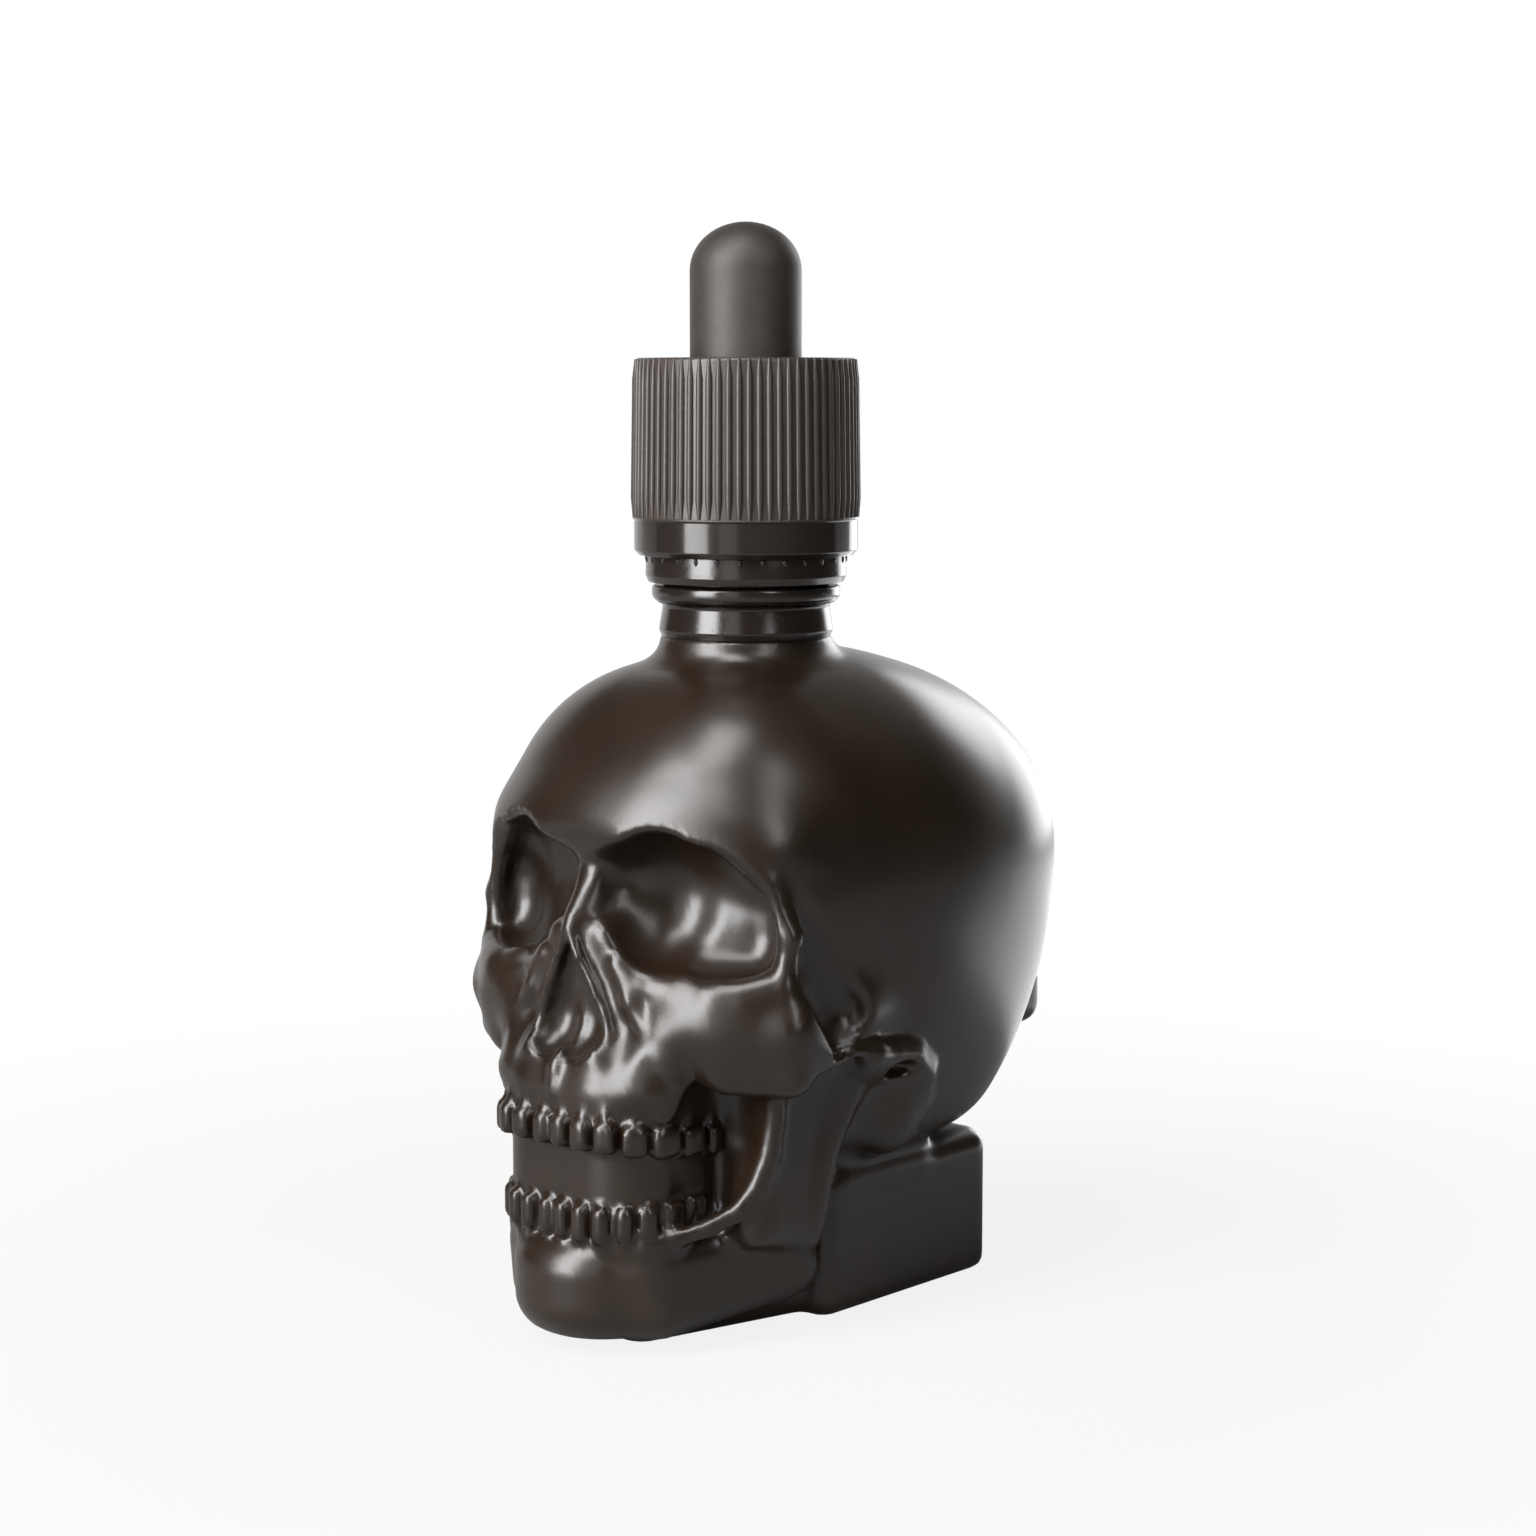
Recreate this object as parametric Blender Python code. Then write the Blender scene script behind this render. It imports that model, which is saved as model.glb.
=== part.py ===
"""A skull-shaped dropper bottle with a push-and-turn cap, for Blender 4.5.

Sizes below are in millimetres and are turned into metres where the meshes are made. +Z is up, the base
stands on z = 0, the neck's axis is the Z axis, the face looks to -Y and +X is the skull's own left.
"""
import math

import bmesh
import bpy
import numpy as np
from mathutils import Vector

MM = 0.001

# Driving dimensions of the skull.
CROWN_HEIGHT = 63.4
CRANIUM_HALF_WIDTH = 23.4
CRANIUM_HALF_LENGTH = 31.4
CRANIUM_CENTRE_Y = 7.2
CRANIUM_EQUATOR_Z = 42.5
CHEEK_HALF_WIDTH = 22.4
FACE_FRONT_Y = -28.1
GLASS_WALL = 2.6
GLASS_BASE = 3.4
CRANIUM_UNDER_DEPTH = 37.0
CAVITY_UNDER_DEPTH = 26.0

# The skull's forms are laid out about 63 mm tall, and sized by these factors across, along and up.
SKULL_SIZE = np.array((1.018, 1.018, 1.033))

# How finely the skull and the space inside it are meshed.
SKULL_GRID_STEP = 0.6
SKULL_TRIANGLES = 7050
CAVITY_GRID_STEP = 1.6
CAVITY_TRIANGLES = 1000
SEGMENTS = 36

# Driving dimensions of the neck, an 18 mm bottle finish. Radii follow the root of its thread and heights
# follow the crown.
CROWN_Z = CROWN_HEIGHT * float(SKULL_SIZE[2])
NECK_ROOT_R = 7.95
NECK_BORE_R = NECK_ROOT_R - 1.95
NECK_BORE_DEPTH = 12.0
NECK_FOOT_DEPTH = 6.0
NECK_LOW_R = NECK_ROOT_R + 0.8
NECK_TOP_R = NECK_ROOT_R + 0.35
COLLAR_R = NECK_ROOT_R + 1.5
COLLAR_TOP_Z = CROWN_Z + 6.8
COLLAR_HEIGHT = 1.7
BEAD_R = NECK_ROOT_R + 1.05
BEAD_TOP_Z = COLLAR_TOP_Z + 2.9
BEAD_HEIGHT = 1.2
RIM_Z = COLLAR_TOP_Z + 15.4

# Driving dimensions of the closure, from the glass bead outwards and from the rim up and down.
CLEARANCE = 0.3
BAND_WALL = 0.85
INNER_CAP_R = BEAD_R + CLEARANCE + BAND_WALL
INNER_WALL = 1.0
SHELL_INNER_R = INNER_CAP_R + CLEARANCE
SHELL_WALL = 0.77
SHELL_BAND_R = SHELL_INNER_R + SHELL_WALL
SHELL_BAND_HEIGHT = 3.6
SHELL_TOP_Z = RIM_Z + 7.1
SHELL_LOW_Z = BEAD_TOP_Z + 0.1
SHELL_TOP_THICKNESS = 1.3
SHELL_TOP_CHAMFER = 0.6
SHELL_FOOT_CHAMFER = 0.45
RIB_COUNT = 70
RIB_BOTTOM_R = SHELL_BAND_R + 0.33
RIB_TOP_R = SHELL_BAND_R + 0.08
RIB_DEPTH = 0.35
PRESS_TRAVEL = 1.2
LUG_COUNT = 8
LUG_HEIGHT = 1.2
LUG_ANGLE = 16.0
LUG_INSET = 0.9
LUG_SINK = 0.4
PANEL_THICKNESS = 1.2
SNAP_DEPTH = 0.43
SNAP_DROP = 7.6
SNAP_BEAD_HEIGHT = 1.0
TAMPER_HEIGHT = 3.1
TAMPER_TAPER = 0.15
TAMPER_CHAMFER = 0.35

# Driving dimensions of the dropper.
BULB_R = 5.57
BULB_HEIGHT = 13.4
BULB_DOME = 4.8
BULB_WALL = 1.15
BULB_LIP = 5.0
FLANGE_R = NECK_ROOT_R + 0.65
FLANGE_THICKNESS = 1.3
PIPETTE_R = 3.5
PIPETTE_WALL = 0.9
PIPETTE_TIP_R = 1.5
PIPETTE_TIP_WALL = 0.55
PIPETTE_TAPER = 9.0
PIPETTE_FLARE_R = 4.1
PIPETTE_FLARE_HEIGHT = 1.0
PIPETTE_TIP_Z = 12.5
PANEL_TOP_Z = RIM_Z + FLANGE_THICKNESS + 2 * CLEARANCE + PANEL_THICKNESS
BULB_HOLE_R = BULB_R + CLEARANCE


def smooth_min(a, b, blend):
    """Join two distances with a fillet about as wide as the blend."""
    if blend <= 0:
        return np.minimum(a, b)
    h = np.maximum(blend - np.abs(a - b), 0.0) / blend
    return np.minimum(a, b) - h * h * blend * 0.25


def smooth_max(a, b, blend):
    """Overlap of two distances, its edges rounded by the blend."""
    return -smooth_min(-a, -b, blend)


class Form:
    """One shape: a signed distance and the box outside which it has no effect."""

    def __init__(self, distance, low, high):
        self.distance = distance
        self.low = np.array(low, float)
        self.high = np.array(high, float)


def turned(x, y, z, centre, yaw, pitch):
    """Coordinates in a frame at the centre, turned about Z by yaw and then tipped about X by pitch."""
    x, y, z = x - centre[0], y - centre[1], z - centre[2]
    c, s = math.cos(math.radians(yaw)), math.sin(math.radians(yaw))
    x, y = c * x + s * y, c * y - s * x
    c, s = math.cos(math.radians(pitch)), math.sin(math.radians(pitch))
    y, z = c * y + s * z, c * z - s * y
    return x, y, z


def ball(centre, radii, below=None, yaw=0.0, pitch=0.0):
    """An ellipsoid, with another radius under its equator where one is given."""
    a, b, c = radii
    low_c = below or c

    def distance(x, y, z):
        x, y, z = turned(x, y, z, centre, yaw, pitch)
        rz = np.where(z < 0, low_c, c)
        k0 = np.sqrt((x / a) ** 2 + (y / b) ** 2 + (z / rz) ** 2)
        k1 = np.sqrt((x / a**2) ** 2 + (y / b**2) ** 2 + (z / rz**2) ** 2)
        return k0 * (k0 - 1.0) / np.maximum(k1, 1e-6)

    reach = max(a, b, c, low_c) if (yaw or pitch) else 0
    spread = np.maximum(np.array([a, b, max(c, low_c)]), reach)
    return Form(distance, np.array(centre) - spread, np.array(centre) + spread)


def slab(centre, half, rounding, yaw=0.0, pitch=0.0):
    """A block with rounded edges."""
    hx, hy, hz = (h - rounding for h in half)

    def distance(x, y, z):
        x, y, z = turned(x, y, z, centre, yaw, pitch)
        qx, qy, qz = np.abs(x) - hx, np.abs(y) - hy, np.abs(z) - hz
        outside = np.sqrt(np.maximum(qx, 0) ** 2 + np.maximum(qy, 0) ** 2 + np.maximum(qz, 0) ** 2)
        return outside + np.minimum(np.maximum(np.maximum(qx, qy), qz), 0) - rounding

    reach = np.linalg.norm(half) if (yaw or pitch) else 0
    spread = np.maximum(np.array(half, float), reach)
    return Form(distance, np.array(centre) - spread, np.array(centre) + spread)


def rod(start, end, r_start, r_end):
    """A straight ridge with round ends that tapers from one radius to the other."""
    a, b = np.array(start, float), np.array(end, float)
    axis = b - a
    length2 = float(axis @ axis)

    def distance(x, y, z):
        px, py, pz = x - a[0], y - a[1], z - a[2]
        t = np.clip((px * axis[0] + py * axis[1] + pz * axis[2]) / length2, 0.0, 1.0)
        gap = np.sqrt((px - t * axis[0]) ** 2 + (py - t * axis[1]) ** 2 + (pz - t * axis[2]) ** 2)
        return gap - (r_start + (r_end - r_start) * t)

    r = max(r_start, r_end)
    return Form(distance, np.minimum(a, b) - r, np.maximum(a, b) + r)


def arch(half_width, front, back, corner, z_low, z_high, rounding):
    """An upright wall of U-shaped outline, as a row of teeth or a jaw stands in."""
    mid_y, half_y = (front + back) / 2, (back - front) / 2
    mid_z, half_z = (z_low + z_high) / 2, (z_high - z_low) / 2

    def distance(x, y, z):
        qx = np.abs(x) - (half_width - corner)
        qy = np.abs(y - mid_y) - (half_y - corner)
        plan = np.hypot(np.maximum(qx, 0), np.maximum(qy, 0)) + np.minimum(np.maximum(qx, qy), 0) - corner
        wall, lid = plan + rounding, np.abs(z - mid_z) - half_z + rounding
        outside = np.hypot(np.maximum(wall, 0), np.maximum(lid, 0))
        return outside + np.minimum(np.maximum(wall, lid), 0) - rounding

    return Form(distance, (-half_width, front, z_low), (half_width, back, z_high))


def behind(form, y_front):
    """The part of a form that lies behind an upright plane across the head."""

    def distance(x, y, z):
        return smooth_max(form.distance(x, y, z), y_front - y + 0 * z, 1.2)

    return Form(distance, form.low, form.high)


def melded(forms, blend):
    """Several forms joined softly into one."""

    def distance(x, y, z):
        total = forms[0].distance(x, y, z)
        for form in forms[1:]:
            total = smooth_min(total, form.distance(x, y, z), blend)
        return total

    return Form(distance, np.min([f.low for f in forms], axis=0), np.max([f.high for f in forms], axis=0))


def ridge(points, radii, blend=1.0):
    """A rounded ridge through several points."""
    return melded([rod(*pair) for pair in zip(points, points[1:], radii, radii[1:])], 0.3 * blend)


class Field:
    """A signed distance sampled on a grid over the skull's left half; the right half mirrors it."""

    MARGIN = 3.0

    def __init__(self, low, high, step):
        self.step = step
        count = [int(math.ceil((h - l) / step)) + 1 for l, h in zip(low, high)]
        self.axes = [l + step * np.arange(n) for l, n in zip(low, count)]
        self.values = np.full(count, 1e3)

    def window(self, form, blend):
        """The grid lines that a form can change, and the values there."""
        margin = self.MARGIN + blend
        cut = []
        for axis, low, high in zip(self.axes, form.low, form.high):
            first = int(np.searchsorted(axis, low - margin))
            last = int(np.searchsorted(axis, high + margin))
            cut.append(slice(first, last))
        x = np.abs(self.axes[0][cut[0]])[:, None, None]
        y = self.axes[1][cut[1]][None, :, None]
        z = self.axes[2][cut[2]][None, None, :]
        return tuple(cut), form.distance(x, y, z)

    def add(self, form, blend=0.0):
        cut, distance = self.window(form, blend)
        self.values[cut] = smooth_min(self.values[cut], distance, blend)

    def cut(self, form, blend=0.0):
        cut, distance = self.window(form, blend)
        self.values[cut] = smooth_max(self.values[cut], -distance, blend)


def closed_signs(field):
    """Fill the few places where the solid touches itself only at an edge or a corner of the grid."""
    values = field.values
    filled = -0.05 * field.step
    for _ in range(6):
        for u, v in ((0, 1), (0, 2), (1, 2)):
            four = []
            for du, dv in ((0, 0), (1, 1), (0, 1), (1, 0)):
                part = [slice(None)] * 3
                part[u] = slice(du, values.shape[u] - 1 + du)
                part[v] = slice(dv, values.shape[v] - 1 + dv)
                four.append(values[tuple(part)])
            a, b, c, d = four
            across = (a < 0) & (b < 0) & (c >= 0) & (d >= 0)
            other = (c < 0) & (d < 0) & (a >= 0) & (b >= 0)
            c[across] = filled
            a[other] = filled
        near, far = slice(0, -1), slice(1, None)
        for flip_y, flip_z in ((0, 0), (0, 1), (1, 0), (1, 1)):
            y0, y1 = (far, near) if flip_y else (near, far)
            z0, z1 = (far, near) if flip_z else (near, far)
            cell = [[[values[x, y, z] for z in (z0, z1)] for y in (y0, y1)] for x in (near, far)]
            start, end = cell[0][0][0] < 0, cell[1][1][1] < 0
            rest = [cell[a][b][c] < 0 for a in (0, 1) for b in (0, 1) for c in (0, 1) if 0 < a + b + c < 3]
            alone = start & end & ~np.logical_or.reduce(rest)
            hollow = ~start & ~end & np.logical_and.reduce(rest)
            cell[0][0][1][alone] = filled
            cell[0][1][1][alone] = filled
            cell[0][0][0][hollow] = filled
    return field


def polygonise(field):
    """A closed mesh of quads on the field's zero surface: one point in each cell that the surface crosses."""
    values, step = field.values, field.step
    inside = values < 0
    corners = [inside[dx:inside.shape[0] - 1 + dx, dy:inside.shape[1] - 1 + dy, dz:inside.shape[2] - 1 + dz]
               for dx in (0, 1) for dy in (0, 1) for dz in (0, 1)]
    total = sum(c.astype(np.int8) for c in corners)
    crossed = (total > 0) & (total < 8)
    cells = np.argwhere(crossed)
    index = np.full(crossed.shape, -1, np.int64)
    index[crossed] = np.arange(len(cells))
    sums = np.zeros((len(cells), 3))
    hits = np.zeros(len(cells))
    quads = []
    for axis in range(3):
        a_side = [slice(None)] * 3
        b_side = [slice(None)] * 3
        a_side[axis], b_side[axis] = slice(0, -1), slice(1, None)
        va, vb = values[tuple(a_side)], values[tuple(b_side)]
        edges = np.argwhere((va < 0) != (vb < 0))
        first, second = va[tuple(edges.T)], vb[tuple(edges.T)]
        point = edges.astype(float)
        point[:, axis] += first / (first - second)
        u, v = (axis + 1) % 3, (axis + 2) % 3
        ring = []
        for du, dv in ((-1, -1), (0, -1), (0, 0), (-1, 0)):
            cell = edges.copy()
            cell[:, u] += du
            cell[:, v] += dv
            found = index[tuple(cell.T)]
            np.add.at(sums, found, point)
            np.add.at(hits, found, 1)
            ring.append(found)
        ring = np.stack(ring, axis=1)
        ring[second < 0] = ring[second < 0][:, ::-1]
        quads.append(ring)
    low = np.array([axis[0] for axis in field.axes])
    return low + step * sums / hits[:, None], np.concatenate(quads)


def cranium_forms(field):
    """Braincase, cut off flat underneath where the block carries it."""
    crown = CROWN_HEIGHT - CRANIUM_EQUATOR_Z
    centre = (0, CRANIUM_CENTRE_Y, CRANIUM_EQUATOR_Z)
    field.add(ball(centre, (CRANIUM_HALF_WIDTH, CRANIUM_HALF_LENGTH, crown), below=CRANIUM_UNDER_DEPTH))
    field.cut(slab((0, 24, 2.6), (40, 30, 12.0), 2.0), 4.0)
    # A low crest across the back, where the neck muscles would hold.
    field.add(slab((0, 34.0, 25.8), (9.6, 3.6, 3.4), 2.2), 1.6)


def brow_forms(field):
    """Frontal bone down to the upper rims of the eye sockets."""
    field.add(slab((0, -0.5, CROWN_HEIGHT - 18.4), (20.8, 21.4, 17.5), 16.0), 4.0)
    field.add(slab((0, -9.0, 41.0), (19.3, 12.0, 8.0), 7.6), 4.0)
    field.add(ball((0, -17.5, 47.4), (8.0, 4.6, 4.6)), 5.0)
    field.add(ball((11.0, -16.0, 47.6), (8.6, 4.4, 3.0), yaw=20), 4.0)


def face_forms(field):
    """Middle of the face: upper jaw, cheek bones and the arch back to the ear."""
    field.add(ball((0, -8.0, 31.0), (CHEEK_HALF_WIDTH - 0.6, 16.2, 9.4), below=8.0), 2.5)
    field.add(ball((0, -18.0, 36.5), (6.8, 6.4, 9.0)), 2.0)
    field.add(arch(9.8, FACE_FRONT_Y + 1.3, -4.0, 6.6, 21.0, 25.2, 0.8), 1.5)
    field.add(arch(10.0, FACE_FRONT_Y + 1.4, -4.0, 6.6, 22.0, 29.5, 2.2), 2.0)
    # Cheek bone, full towards the front and drawn back to its pointed process.
    field.add(ball((13.6, -17.4, 30.8), (7.2, 4.4, 5.4), below=5.2, yaw=34), 1.8)
    field.add(slab((16.4, -16.0, 29.6), (5.2, 3.0, 5.3), 2.4, yaw=34), 2.2)
    root, tip = (CHEEK_HALF_WIDTH - 2.8, -15.4, 30.6), (CHEEK_HALF_WIDTH - 1.6, -12.2, 28.6)
    field.add(rod(root, tip, 2.4, 1.1), 1.8)
    # Thin arch, the knob where it meets the temple and the ridge over and behind the ear.
    side = CHEEK_HALF_WIDTH - 1.4
    arch_line = [(side - 0.7, -13.8, 27.2), (side - 0.1, -10.6, 27.2), (side, -8.0, 27.8), (side, -5.0, 27.6)]
    field.add(ridge(arch_line, [0.9, 0.5, 0.5, 0.8]), 0.8)
    ear_line = [(side, -5.0, 27.6), (side, -1.0, 27.2), (side - 0.1, 1.4, 26.7), (side - 0.5, 4.2, 24.6),
                (side - 2.2, 5.6, 21.8), (side - 4.4, 6.0, 19.0)]
    field.add(ridge(ear_line, [0.8, 0.5, 0.5, 0.6, 0.6, 0.6]), 1.4)


def rim_forms(field):
    """Crisp rims: edge of the eye socket, and the ridges down to the teeth."""
    field.add(ridge([(5.6, -23.3, 38.2), (9.0, -22.0, 34.9), (14.2, -19.8, 34.3)], [0.8, 0.8, 0.9]), 1.0)
    field.add(ridge([(14.2, -19.8, 34.3), (19.4, -15.9, 35.2), (20.0, -15.7, 39.4)], [0.9, 1.3, 0.9]), 1.6)
    field.add(ridge([(20.0, -15.7, 39.4), (18.5, -17.0, 44.2), (15.0, -19.2, 47.6)], [0.9, 0.9, 0.9]), 1.2)
    field.add(ridge([(6.0, -23.3, 37.6), (6.9, -23.0, 34.2), (8.4, -22.2, 31.2)], [0.8, 0.8, 0.5]), 1.0)
    field.add(ridge([(10.0, -21.8, 33.4), (11.0, -21.9, 29.4), (11.3, -21.5, 26.4), (10.3, -22.6, 23.4)],
                    [0.6, 0.8, 0.8, 0.6]), 1.2)


def jaw_forms(field):
    """Lower jaw: chin, body and the upright branch on each side."""
    field.add(arch(9.7, FACE_FRONT_Y + 1.5, -6.0, 6.0, 9.0, 24.0, 1.0), 0.8)
    field.add(arch(8.7, FACE_FRONT_Y - 0.7, -8.0, 8.4, 0.5, 10.6, 3.6), 1.2)
    field.add(slab((9.6, -14.2, 6.8), (3.4, 10.2, 5.1), 3.2, yaw=-17, pitch=8), 2.0)
    # Upright branch with its rear ridge, and the channel inside its front edge.
    field.add(slab((14.2, -9.8, 18.0), (2.3, 5.2, 9.4), 1.8, yaw=-3, pitch=-11), 2.0)
    field.add(slab((12.0, -10.4, 18.5), (4.2, 4.2, 8.0), 1.2), 1.0)
    field.add(ridge([(18.0, -3.9, 25.4), (17.0, -5.3, 20.6), (15.9, -6.6, 16.3), (15.2, -7.6, 11.5)],
                    [1.2, 0.9, 0.9, 0.9]), 1.8)
    front_rim = [(16.8, -14.4, 26.4), (16.6, -14.1, 22.0), (16.2, -14.5, 18.4), (15.5, -15.5, 15.5),
                 (14.4, -17.0, 13.2), (12.6, -19.0, 11.8), (10.6, -21.4, 10.9), (8.6, -23.4, 10.3)]
    field.add(ridge(front_rim, [0.9, 0.9, 0.9, 0.9, 0.9, 0.9, 0.8, 0.7]), 1.2)
    channel = [(13.2, -17.0, 27.0), (13.0, -16.9, 19.5), (12.2, -18.0, 15.8), (10.8, -20.2, 14.2)]
    field.cut(ridge(channel, [2.6, 2.6, 2.0, 1.2]), 0.6)


def base_forms(field):
    """Block under the back of the head, and the plate that joins it to the jaw."""
    field.add(slab((0, 9.0, 5.4), (14.3, 13.2, 9.2), 2.2), 0.4)
    field.add(slab((5.0, -9.5, 3.0), (5.0, 13.0, 5.0), 3.0, yaw=-14), 1.0)
    field.add(slab((0, -7.4, 3.0), (7.4, 12.6, 5.0), 3.4), 1.0)
    field.add(slab((0, 3.5, 16.0), (11.8, 13.5, 9.0), 3.0), 2.0)
    # Solid middle, so that jaw, plates and block are one piece of glass with one space inside.
    field.add(slab((0, -6.0, 9.0), (7.5, 12.5, 7.0), 3.0))


def ear_forms(field):
    """Ear hollow, and the mastoid cone under it."""
    field.add(ball((15.6, 3.0, 21.2), (4.2, 4.2, 6.0), below=8.4), 1.4)
    field.add(slab((12.8, 5.0, 16.0), (3.4, 8.0, 5.0), 2.0), 1.5)
    field.cut(ball((22.2, -0.2, 25.5), (2.4, 2.1, 0.8)), 0.4)


def hollows(field):
    """Eye sockets, nose and the hollow at the temple."""
    # The socket is a deep pocket beside the nose and a wider one towards the cheek, with a crease between.
    outer_pocket = ball((12.8, -20.6, 42.4), (5.4, 5.4, 5.2), yaw=34)
    outer_floor = slab((15.0, -19.6, 40.3), (5.5, 4.8, 4.2), 3.6, yaw=34)
    field.cut(melded([outer_pocket, outer_floor], 2.0), 0.7)
    field.cut(ball((9.3, -22.8, 42.5), (5.1, 7.4, 6.5)), 0.8)
    opening = [ball((2.3, -27.6, 32.2), (3.2, 4.9, 5.0)), ball((0.9, -27.8, 36.6), (2.0, 4.8, 3.6))]
    field.cut(melded(opening, 2.5), 0.5)
    temple = slab((23.6, -13.4, 36.9), (4.6, 3.1, 9.6), 2.4, pitch=34)
    field.cut(behind(temple, -14.8), 0.5)
    # Valley beside the nose, and the crease before the ridge to the side teeth.
    field.cut(ball((6.9, -26.9, 30.0), (1.4, 2.6, 5.0)), 2.0)
    field.cut(ball((10.0, -24.6, 27.2), (0.7, 1.6, 3.8)), 1.0)


def nose_forms(field):
    """Nasal bones, the rim of the opening, the thin wall in it and the spine below."""
    field.add(ridge([(0, -19.0, 45.6), (0, -21.9, 42.0), (0, -24.8, 39.8)], [1.6, 1.3, 0.8]), 2.0)
    field.add(rod((2.3, -22.6, 46.6), (2.5, -23.0, 45.2), 0.6, 0.6), 0.6)
    aperture = [(0.3, -25.2, 39.6), (2.2, -24.7, 38.4), (4.1, -24.1, 36.2), (5.3, -23.8, 33.6),
                (5.4, -24.0, 31.2), (4.8, -24.7, 29.0), (3.2, -26.0, 27.8)]
    field.add(ridge(aperture, [0.5, 0.5, 0.5, 0.5, 0.5, 0.5, 0.5]), 0.6)
    field.add(slab((0, -23.2, 31.8), (0.4, 1.0, 4.2), 0.3), 0.6)
    field.add(ridge([(0, -25.9, 29.0), (0, -27.0, 27.4), (0, -27.1, 24.0)], [0.7, 0.6, 0.4]), 0.9)
    # Soft swelling over the eye tooth.
    field.add(rod((8.3, -22.7, 30.0), (8.0, -24.0, 24.8), 1.0, 1.4), 2.0)


def tooth_place(position, half_width, front):
    """Where along the U of the jaw a tooth stands, and how far it is turned to face outwards."""
    corner = 6.6
    straight = half_width - corner
    turn_length = corner * math.pi / 2
    if position < straight:
        return position, front, 0.0
    if position < straight + turn_length:
        angle = (position - straight) / corner
        x, y = straight + corner * math.sin(angle), front + corner * (1 - math.cos(angle))
        return x, y, math.degrees(angle)
    return half_width, front + corner + position - straight - turn_length, 90.0


def tooth_row(field, widths, half_width, front, heights, half_heights, root):
    """Teeth from the middle back. Heights go from the first to the last tooth; each has a small root bump."""
    position, total = 0.0, sum(widths)
    for width in widths:
        share = max(0.0, (position + width / 2) / total - 0.35) / 0.65
        mid_z = heights[0] + (heights[1] - heights[0]) * share
        half_z = half_heights[0] + (half_heights[1] - half_heights[0]) * share
        x, y, turn = tooth_place(position + width / 2, half_width, front)
        in_x, in_y = -math.sin(math.radians(turn)), math.cos(math.radians(turn))
        centre = (x + 0.8 * in_x, y + 0.8 * in_y, mid_z)
        field.add(slab(centre, (width / 2 - 0.33, 1.3, half_z), 0.6, yaw=turn), 0.15)
        foot = mid_z + root * half_z
        start = (x + 0.5 * in_x, y + 0.5 * in_y, foot)
        field.add(rod(start, (x + 0.9 * in_x, y + 0.9 * in_y, foot + root * 1.2), 0.5, 0.4), 0.4)
        position += width


def teeth_forms(field):
    """Upper and lower row."""
    upper = (2.6, 2.8, 2.8, 3.1, 3.6, 3.4, 2.4)
    lower = (2.3, 2.4, 2.4, 2.3, 2.5, 3.1, 3.1)
    tooth_row(field, upper, 10.5, FACE_FRONT_Y + 0.5, (20.7, 19.1), (1.5, 1.4), 1)
    tooth_row(field, lower, 9.9, FACE_FRONT_Y + 0.9, (12.3, 13.0), (1.75, 1.3), -1)


def head_grid(step):
    """An empty grid with room for the whole head on its left side."""
    back = CRANIUM_CENTRE_Y + CRANIUM_HALF_LENGTH
    side = max(CHEEK_HALF_WIDTH, CRANIUM_HALF_WIDTH)
    return Field((-2.2 * step, FACE_FRONT_Y - 3.9, -4.0), (side + 4.6, back + 3.4, CROWN_HEIGHT + 4.6), step)


def skull_field(step):
    field = head_grid(step)
    cranium_forms(field)
    brow_forms(field)
    face_forms(field)
    jaw_forms(field)
    base_forms(field)
    ear_forms(field)
    hollows(field)
    nose_forms(field)
    rim_forms(field)
    teeth_forms(field)
    return field


def mirrored(field):
    """The whole field, from its left half."""
    start = int(np.searchsorted(field.axes[0], 0.0))
    x = field.axes[0][start:]
    whole = Field((0, 0, 0), (1, 1, 1), 1.0)
    whole.step = field.step
    whole.axes = [np.concatenate([-x[::-1], x]), field.axes[1], field.axes[2]]
    half = field.values[start:]
    whole.values = np.concatenate([half[::-1], half])
    return whole


def clear_scene():
    for old in list(bpy.data.objects):
        bpy.data.objects.remove(old, do_unlink=True)


def cut_flat_base(mesh):
    """Cut away what lies under the base plane and close the cut with one flat face."""
    work = bmesh.new()
    work.from_mesh(mesh)
    everything = work.verts[:] + work.edges[:] + work.faces[:]
    sliced = bmesh.ops.bisect_plane(work, geom=everything, dist=1e-7, plane_co=(0, 0, 0), plane_no=(0, 0, 1),
                                    clear_inner=True)
    rim = [e for e in sliced["geom_cut"] if isinstance(e, bmesh.types.BMEdge)]
    bmesh.ops.holes_fill(work, edges=rim, sides=0)
    work.to_mesh(mesh)
    work.free()


def cavity_field(step, outer):
    """The space inside the glass: plain smooth forms, kept a wall's thickness inside the skull."""
    field = head_grid(step)
    centre = (0, CRANIUM_CENTRE_Y, CRANIUM_EQUATOR_Z)
    inside = [size - GLASS_WALL for size in (CRANIUM_HALF_WIDTH, CRANIUM_HALF_LENGTH)]
    crown = CROWN_HEIGHT - CRANIUM_EQUATOR_Z - GLASS_WALL
    field.add(ball(centre, (inside[0], inside[1], crown), below=CAVITY_UNDER_DEPTH))
    field.add(slab((0, 9.4, 14.0), (10.8, 9.2, 14.0 - GLASS_BASE), 4.0), 3.0)
    field.add(slab((0, -8.0, 18.0), (6.4, 13.0, 18.0 - GLASS_BASE), 4.0), 4.0)
    field.values = smooth_max(field.values, outer.values + GLASS_WALL, 2.0)
    return field


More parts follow.
